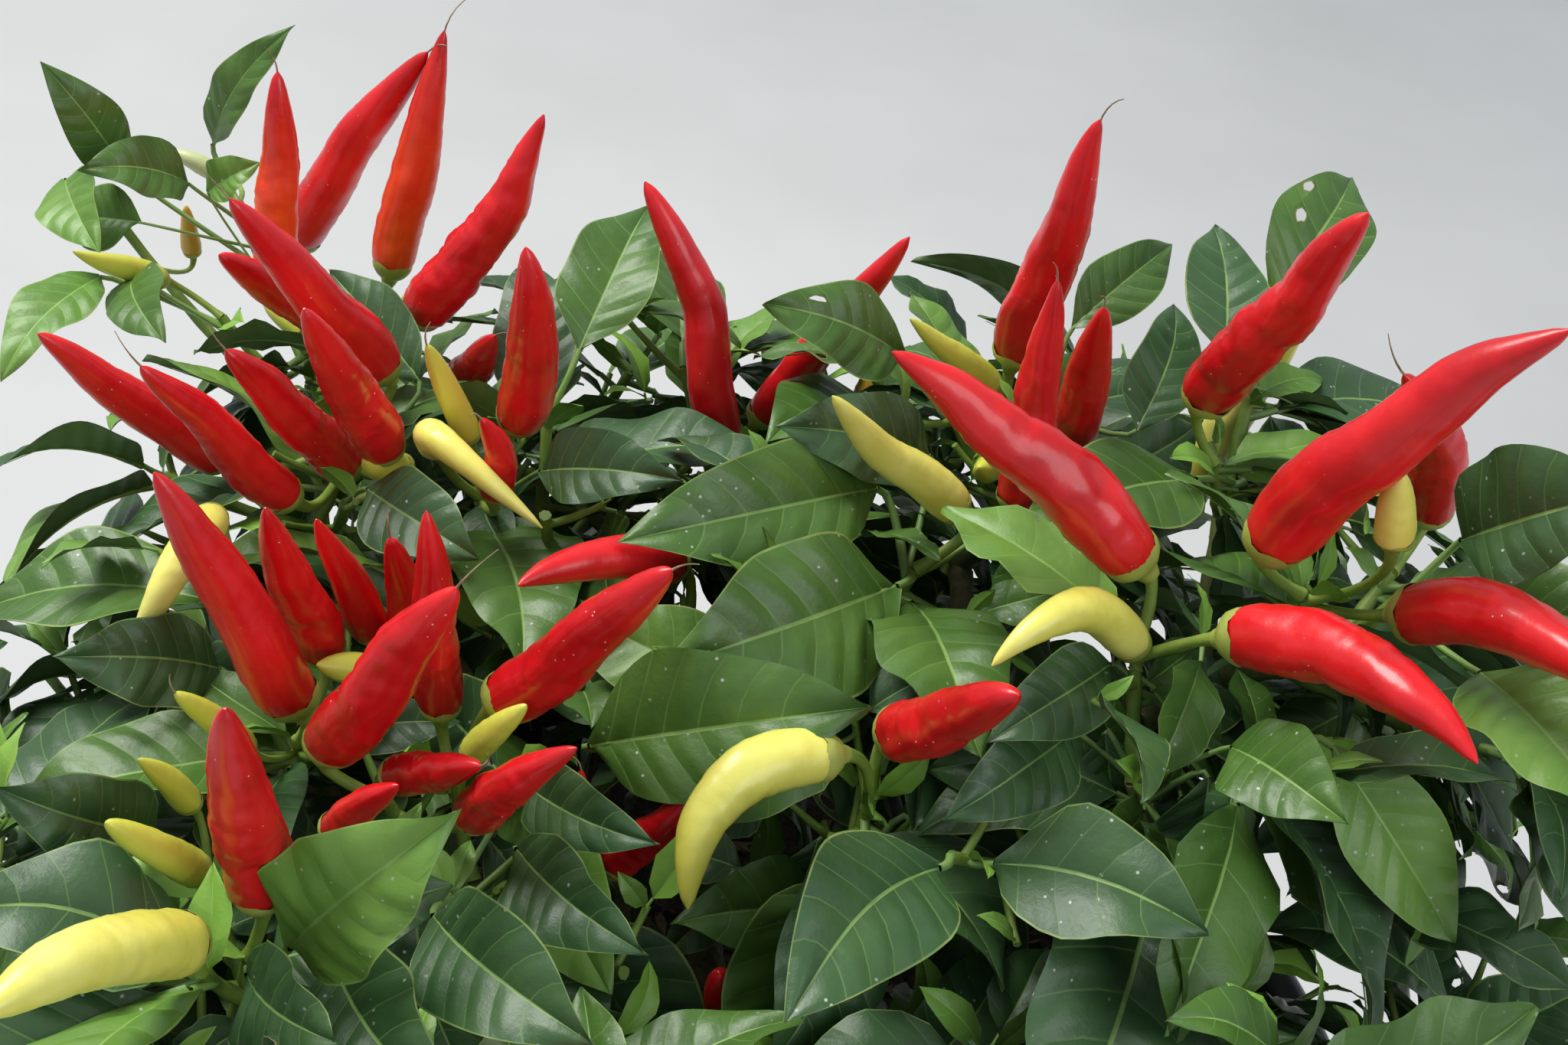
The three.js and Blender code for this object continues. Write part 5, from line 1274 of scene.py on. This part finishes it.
def tone_of(leaf, key):
    """Leaves deep under the crown's top are dark, painted shade besides the darker green of old leaves;
    those near the top are painted greener, and the youngest are bright.
    """
    size = leaf["size"]
    if leaf["tone"]:
        return TONE_LETTERS[leaf["tone"].lower()]
    if size == "young":
        return "young" if chance(key, 1, 31) < BRIGHT_SHARE else "fresh"
    # Painted shade and light: the deeper a leaf's tip lies under the crown's top, the darker its tone
    depth = canopy_height(leaf["tip"]) - leaf["tip"][2]
    light = chance(key, 2, 31) - depth / SHADE_DEPTH
    return "fresh" if light > FRESH_LIGHT[size] else ("mid" if light > MID_LIGHT[size] else "dark")


def is_bitten(leaf, key):
    return leaf["tone"].isupper() or (leaf["size"] == "full" and chance(key, 8, 81) < BITTEN_SHARE)


def build_leaves(plans, materials):
    pieces = []
    for name, masses in QUARTERS.items():
        builder = Builder()
        for plan in plans:
            for n, leaf in enumerate(plan.leaves if plan.name in masses else ()):
                key = LEAF_KEYS + plan.key * 300 + n
                add_leaf_shape(builder, leaf, key, tone_of(leaf, key), is_bitten(leaf, key))
        piece = builder.make(name, materials)
        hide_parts(*masses)
        pieces.append(piece)
    return pieces


# A pod's material slots from its calyx to its tip
POD_SLOTS = {
    "red": (0,), "dark red": (1, 0, 0, 0), "orange": (7, 7, 7, 6, 5, 4, 3, 2, 0), "yellow": (8,),
    "lime": (9,), "pale": (13,), "amber": (14,)}
DARK_RED_SHARE = 0.35
LIME_GIRTH = 6
STYLE_SHARE = 0.35

# Pods that have only just set: their mass, colour, foot, tip and girth
YOUNG_PODS = [
    ("foliage_left_upper", "lime", (-66, 52, 295), (-71, 45, 302), 5.8),
    ("foliage_back_right", "lime", (34, 67, 307), (31, 59, 312), 5),
    ("foliage_back_left", "pale", (-129, 146, 290), (-138, 145, 293), 4.2),
    ("foliage_back_left", "amber", (-128, 128, 281), (-129, 128, 292), 3.8),
    ("foliage_left", "lime", (-59, 4, 292), (-66, -2, 298), 5.4),
    ("foliage_back", "amber", (12, 107, 286), (12, 109, 298), 7.4),
    ("foliage_left_upper", "lime", (-97, 101, 285), (-106, 104, 289), 4.4),
]


def pod_slots(pod, key):
    """Some red pods are darker at their base, and the slender yellow ones are lime."""
    if pod["colour"] == "red" and chance(key, 5, 96) < DARK_RED_SHARE:
        return POD_SLOTS["dark red"]
    if pod["colour"] == "yellow" and pod["girth"] < LIME_GIRTH:
        return POD_SLOTS["lime"]
    return POD_SLOTS[pod["colour"]]


def nearest_twig(plan, point):
    """The place on the mass's twigs that a young pod's stalk starts from."""
    places = np.concatenate([sprig["curve"].at(np.linspace(0.3, 1, 15)) for sprig in plan.sprigs])
    return places[np.argmin(np.linalg.norm(places - point, axis=1))]


def young_pods(plans):
    for name, colour, foot, tip, girth in YOUNG_PODS:
        plan = next(plan for plan in plans if plan.name == name)
        curve = pod_curve(foot, tip)
        stalk = stalk_curve(nearest_twig(plan, vec(foot)), curve)
        yield {"colour": colour, "curve": curve, "girth": girth, "stalk": stalk}


def add_pod(builder, pod, key, slots, **fineness):
    pod_shape(builder, pod, key, slots, **fineness)
    calyx_shape(builder, pod, key)
    stalk_shape(builder, pod)


def build_pods(plans, materials):
    builder = Builder()
    for plan in plans:
        for n, pod in enumerate(plan.pods):
            key = POD_KEYS + plan.key * 40 + n
            add_pod(builder, pod, key, pod_slots(pod, key))
            if chance(key, 6, 96) < STYLE_SHARE:
                style_shape(builder, pod, key)
    for n, pod in enumerate(young_pods(plans)):
        add_pod(builder, pod, YOUNG_POD_KEYS + n, POD_SLOTS[pod["colour"]], sides=12, steps=14)
    piece = builder.make("pods", materials)
    return piece


# Material slots and radii of the twigs
GREEN_WOOD, OLIVE_WOOD = 0, 1
STEM_RADII = (2.0, STEM_RADIUS, STEM_TIP_RADIUS)
TWIG_RADII = (TWIG_RADIUS * 1.1, TWIG_TIP_RADIUS)
SHOOT_RADII = (0.85, 0.6)


def build_twigs(plans, materials):
    builder = Builder()
    for plan in plans:
        twig_shape(builder, plan.stem, STEM_RADII, 9, OLIVE_WOOD, 14)
        for sprig in plan.sprigs:
            twig_shape(builder, sprig["curve"], TWIG_RADII, 7, GREEN_WOOD)
        for shoot in plan.shoots:
            twig_shape(builder, shoot, SHOOT_RADII, 5, GREEN_WOOD, 6)
    piece = builder.make("twigs", materials)
    return piece


def baked(piece):
    """The mesh of a piece with its modifiers carried out; the piece itself goes."""
    graph = bpy.context.evaluated_depsgraph_get()
    mesh = bpy.data.meshes.new_from_object(piece.evaluated_get(graph))
    bpy.data.objects.remove(piece)
    mesh.polygons.foreach_set("use_smooth", np.ones(len(mesh.polygons), bool))
    return mesh


# The bark's skin: the size of its cells, full and quick, and how far the old wood reaches from the foot
SKIN_CELL, QUICK_SKIN_CELL = 0.62, 1.2
OLD_WOOD, YOUNG_WOOD = 20, 90


def limb_line(name, rows):
    """Points and radii of a limb, from inside the limb it grows from to its rounded tip."""
    if name == "trunk":
        curve, share = trunk_curve(), np.linspace(0, 1, rows)
        radius = np.interp(share, (0, 0.07, 0.2, 0.5, 0.85, 0.96, 1), (
            FLARE_RADIUS, 7.6, TRUNK_RADIUS, 5.1, TRUNK_TIP_RADIUS, 5.1, 4.4))
    else:
        curve, share = bough_curve(name), np.linspace(-0.02, 1.01, rows)
        root, tip = root_radius_of(name), BOUGHS[name].radius
        radius = np.interp(share, (0, 0.5, 0.9, 0.98, 1.01), (
            root * 1.08, (root + tip) / 2, tip, tip * 1.14, tip * 0.8))
    return curve.at(share), radius


def wood_mesh():
    """Trunk and boughs in one continuous skin."""
    builder = Builder()
    for name in ["trunk", *BOUGHS]:
        tube(builder, *limb_line(name, 24), 18, 0)
    wood = builder.make("bark_base", [])
    skin = wood.modifiers.new("skin", "REMESH")
    skin.mode = "VOXEL"
    skin.voxel_size = SKIN_CELL * MM
    relax = wood.modifiers.new("relax", "SMOOTH")
    relax.factor, relax.iterations = 0.5, 4
    return baked(wood)


def bark_relief(at):
    """How far the bark stands out: in ridges on the old wood, nearly smooth on the young."""
    distance = math.dist(at, TRUNK_FOOT)
    old = 1 - min(1, max(0, (distance - OLD_WOOD) / (YOUNG_WOOD - OLD_WOOD)))
    ridge = 1 - abs(noise.noise((at[0] * 0.9, at[1] * 0.9, at[2] * 0.16)))
    grain = noise.noise((at[0] * 2.6, at[1] * 2.6, at[2] * 0.7))
    return (ridge - 0.75) * mix(0.35, 1.1, old) + grain * mix(0.12, 0.3, old)


def build_bark():
    mesh = wood_mesh()
    place = np.zeros(len(mesh.vertices) * 3, np.float32)
    normal = np.zeros_like(place)
    mesh.vertices.foreach_get("co", place)
    mesh.vertices.foreach_get("normal", normal)
    place, normal = place.reshape(-1, 3) / MM, normal.reshape(-1, 3)
    push = np.array([bark_relief(at) for at in place])
    place = place + normal * push[:, None]
    place[:, 2] = np.maximum(place[:, 2], COMPOST_LEVEL - 1.5)
    mesh.vertices.foreach_set("co", (place * MM).astype(np.float32).ravel())
    mesh.update()
    mesh.materials.append(textured(
        "bark", [(0.1, 0.115, 0.04), (0.19, 0.18, 0.075), (0.3, 0.25, 0.13)], (0.62, 0.8), 260,
        bump=0.6, bump_scale=700, bump_distance=0.0004, stretch=(1, 1, 0.25)))
    piece = link_mesh("bark", mesh)
    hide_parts("trunk", *BOUGHS)
    return piece


def lathe(builder, profile, sides, slot):
    """A profile of (radius, height) turned about the pot's axis; the profile runs outwards first."""
    turn = round_turns(sides)
    points = [[(radius * math.cos(a), radius * math.sin(a), height) for a in turn]
              for radius, height in profile]
    builder.add(points, grid_faces(len(profile), sides, closed=True), slot)


def rounded(points, radius, steps=4):
    """The profile with its corners rounded."""
    out = [points[0]]
    for before, at, after in zip(points, points[1:], points[2:]):
        before, at, after = vec(before), vec(at), vec(after)
        cut = min(radius, np.linalg.norm(at - before) * 0.45, np.linalg.norm(after - at) * 0.45)
        start, end = at + unit(before - at) * cut, at + unit(after - at) * cut
        for t in np.linspace(0, 1, steps + 1):
            out.append((1 - t) ** 2 * start + 2 * (1 - t) * t * at + t**2 * end)
    out.append(points[-1])
    return np.array(out, float)


POT_SIDES = 160
POT_HEART = 0.5
EDGE_ROUNDING = 1.3
WELD_DISTANCE = 0.02
SHARP_ANGLE = math.radians(38)


def pot_profile():
    """Half the pot's section, from the middle of its underside round to the middle of its floor."""
    neck, inside = POT_HEIGHT - RIM_DEPTH, POT_FOOT_RADIUS - POT_WALL
    return rounded([
        (POT_HEART, 0), (POT_FOOT_RADIUS - 2, 0), (POT_FOOT_RADIUS, 3),
        (mix(POT_FOOT_RADIUS, POT_NECK_RADIUS, 0.9), neck * 0.9 - 1.2),
        (POT_NECK_RADIUS, neck - 1), (RIM_RADIUS - 1, neck + 0.6), (RIM_RADIUS, neck + 5),
        (RIM_RADIUS, POT_HEIGHT - 2.5), (RIM_RADIUS - 2.5, POT_HEIGHT), (RIM_RADIUS - 7, POT_HEIGHT - 2),
        (POT_NECK_RADIUS - POT_WALL, neck - 4), (inside, POT_WALL + 2), (inside - 3, POT_WALL),
        (POT_HEART, POT_WALL)], EDGE_ROUNDING)


def drill_hole(pot, number):
    """Cuts a drainage hole and gives back the cylinder that cuts it."""
    turn = (number + 0.5) / HOLE_COUNT * 2 * math.pi
    across = HOLE_RING_RADIUS * MM
    bpy.ops.mesh.primitive_cylinder_add(
        vertices=32, radius=HOLE_RADIUS * MM, depth=0.02,
        location=(math.cos(turn) * across, math.sin(turn) * across, POT_WALL / 2 * MM))
    cutter = bpy.context.object
    cut = pot.modifiers.new("hole", "BOOLEAN")
    cut.object, cut.operation, cut.solver = cutter, "DIFFERENCE", "EXACT"
    return cutter


def build_pot():
    builder = Builder()
    lathe(builder, pot_profile(), POT_SIDES, 0)
    for height, flip in ((0, True), (POT_WALL, False)):
        turn = round_turns(POT_SIDES)
        ring = np.stack([POT_HEART * np.cos(turn), POT_HEART * np.sin(turn), np.full(POT_SIDES, height)], 1)
        builder.add_fan(ring, (0, 0, height), 0, flip)
    pot = builder.make("pot_body", [])
    pot.modifiers.new("weld", "WELD").merge_threshold = WELD_DISTANCE * MM
    cutters = [drill_hole(pot, number) for number in range(HOLE_COUNT)]
    mesh = baked(pot)
    for cutter in cutters:
        bpy.data.objects.remove(cutter)
    mesh.materials.clear()
    mesh.materials.append(textured(
        "pot_plastic", [(0.008, 0.009, 0.011), (0.016, 0.018, 0.021), (0.035, 0.037, 0.04)], (0.3, 0.52),
        26, bump=0.12, bump_scale=1100, bump_distance=0.0001, contrast=(0.35, 0.8),
        speck=((0.24, 0.22, 0.19), 520, 0.13)))
    mesh.set_sharp_from_angle(angle=SHARP_ANGLE)
    piece = link_mesh("pot_fine", mesh)
    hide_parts("pot")
    return piece


# The fill: its radius at its top, its material slots, and how many crumbs lie on it
FILL_RADIUS = mix(
    POT_FOOT_RADIUS, POT_NECK_RADIUS, COMPOST_LEVEL / (POT_HEIGHT - RIM_DEPTH)) - POT_WALL - 0.5
SOIL, CRUMB, CHIP, GRAIN = 0, 1, 2, 3
CRUMB_SHARE, CHIP_SHARE = 0.72, 0.96
CRUMBS, QUICK_CRUMBS = 2600, 400
CRUMB_CORNERS = np.array([(1, 0, 0), (-1, 0, 0), (0, 1, 0), (0, -1, 0), (0, 0, 1), (0, 0, -1)], float)
CRUMB_FACES = np.array([
    (0, 2, 4), (2, 1, 4), (1, 3, 4), (3, 0, 4), (2, 0, 5), (1, 2, 5), (3, 1, 5), (0, 3, 5)])


def fill_height(x, y, share):
    """Lumps of the fill's top, which dips near the pot's wall."""
    lumps = noise.noise((x * 0.06, y * 0.06, 3)) * 2.2 + noise.noise((x * 0.28, y * 0.28, 7)) * 1.5
    return COMPOST_LEVEL + lumps - 30 * max(0, share - 0.9)


def fill_shape(builder, rings=70, sides=180):
    at = np.zeros((rings, sides, 3))
    for i, share in enumerate(np.linspace(0, 1, rings) ** 0.75):
        for j, turn in enumerate(round_turns(sides)):
            reach = max(share, 0.004) * FILL_RADIUS
            x, y = reach * math.cos(turn), reach * math.sin(turn)
            crumbly = abs(noise.noise((x * 0.8, y * 0.8, 1))) * 1.1
            at[i, j] = (x, y, fill_height(x, y, share) - 2.2 + crumbly)
    builder.add(at, grid_faces(rings, sides, closed=True), SOIL)
    bottom = POT_WALL + 0.3
    lathe(builder, [
        (0.3, bottom), (POT_FOOT_RADIUS - 9, bottom), (POT_FOOT_RADIUS - 4.5, 9),
        (FILL_RADIUS - 0.2, COMPOST_LEVEL - 6)], 64, SOIL)


def crumb_shape(builder, n):
    """A crumb, a flat chip of bark or a pale grain, turned at random."""
    luck = [chance(n, k, 55) for k in range(10)]
    slot = CRUMB if luck[4] < CRUMB_SHARE else (CHIP if luck[4] < CHIP_SHARE else GRAIN)
    stretch = vec((1, mix(0.4, 1, luck[5]), mix(0.3, 0.8, luck[6])))
    if slot == CHIP:
        stretch = vec((mix(1.5, 3.2, luck[7]), 0.8, 0.35))
    jitter = np.array([[chance(n, k, 56 + m) * 0.5 + 0.75 for m in range(3)] for k in range(6)])
    spin = Matrix.Rotation(luck[8] * 6.3, 3, "Z") @ Matrix.Rotation((luck[9] - 0.5) * 1.2, 3, "X")
    share, turn = math.sqrt(luck[1]) * 0.985, luck[2] * 2 * math.pi
    x, y = share * FILL_RADIUS * math.cos(turn), share * FILL_RADIUS * math.sin(turn)
    corners = CRUMB_CORNERS * jitter * stretch * mix(0.7, 2.6, luck[3] ** 2)
    place = (x, y, fill_height(x, y, share) - 1.6)
    builder.add(corners @ np.array(spin).T + place, CRUMB_FACES, slot)


def build_compost():
    """A lumpy fibrous fill with crumbs, bark chips and a few pale grains."""
    builder = Builder()
    fill_shape(builder)
    for n in range(CRUMBS):
        crumb_shape(builder, n)
    piece = builder.make("compost_fine", [
        textured("compost_dark", [(0.012, 0.008, 0.006), (0.035, 0.023, 0.015), (0.06, 0.042, 0.028)],
                 (0.85, 0.95), 300, bump=1.0, bump_scale=900, bump_distance=0.0012),
        textured("crumb", [(0.02, 0.013, 0.009), (0.07, 0.045, 0.028)], (0.85, 0.95), 200),
        textured("chip", [(0.1, 0.06, 0.03), (0.2, 0.13, 0.07)], (0.75, 0.9), 300),
        textured("grain", [(0.5, 0.48, 0.42), (0.66, 0.64, 0.58)], (0.8, 0.9), 300)], smooth=False)
    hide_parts("compost")
    return piece

# The photograph's view: where it looks, how steeply, how far it is rolled, and from how far away
TARGET = Vector((0, 0.05, 0.3))
PITCH = math.radians(38)
ROLL = math.radians(10)
DISTANCE = 0.37
FLOOR_SIZE = 30


def set_camera():
    look = Vector((0, math.cos(PITCH), -math.sin(PITCH)))
    right = Vector((1, 0, 0))
    up = Vector((0, math.sin(PITCH), math.cos(PITCH)))
    turned_right = right * math.cos(ROLL) + up * math.sin(ROLL)
    turned_up = up * math.cos(ROLL) - right * math.sin(ROLL)
    data = bpy.data.cameras.new("camera")
    data.lens, data.sensor_width, data.sensor_fit = 50, 36, "HORIZONTAL"
    data.clip_start, data.clip_end = 0.01, 50
    camera = bpy.data.objects.new("camera", data)
    stand = Matrix((turned_right, turned_up, -look)).transposed().to_4x4()
    stand.translation = TARGET - look * DISTANCE
    camera.matrix_world = stand
    bpy.context.scene.collection.objects.link(camera)
    bpy.context.scene.camera = camera


def add_light(name, place, aim, size, power, colour):
    data = bpy.data.lights.new(name, "AREA")
    data.shape, data.size, data.energy, data.color = "DISK", size, power, colour
    light = bpy.data.objects.new(name, data)
    light.location = place
    light.rotation_euler = (Vector(aim) - Vector(place)).to_track_quat("-Z", "Y").to_euler()
    bpy.context.scene.collection.objects.link(light)


def set_stage():
    bpy.ops.mesh.primitive_plane_add(size=FLOOR_SIZE)
    floor = bpy.context.object
    floor.name = "floor"
    floor.data.materials.append(textured(
        "floor_pale", [(0.56, 0.56, 0.55), (0.62, 0.62, 0.61)], (0.75, 0.85), 3, specular=0.2))
    world = bpy.data.worlds.new("studio")
    bpy.context.scene.world = world
    world.use_nodes = True
    background = world.node_tree.nodes["Background"]
    background.inputs["Color"].default_value = (0.82, 0.88, 0.95, 1)
    background.inputs["Strength"].default_value = 0.55
    add_light("key", (-0.55, 0.35, 1.25), (0, 0.03, 0.3), 0.7, 17, (1.0, 0.985, 0.96))
    add_light("fill", (0.9, -0.7, 1.0), (0, 0, 0.25), 0.9, 6, (0.94, 0.97, 1.0))
    bpy.context.scene.view_settings.view_transform = "Standard"


def main():
    plans = grow_all()
    pieces = build_leaves(plans, leaf_materials())
    pieces += [build_pods(plans, pod_materials()), build_twigs(plans, wood_materials())]
    pieces += [build_bark(), build_pot(), build_compost()]
    for piece in pieces:
        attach(piece, "root")
    set_stage()
    set_camera()


main()
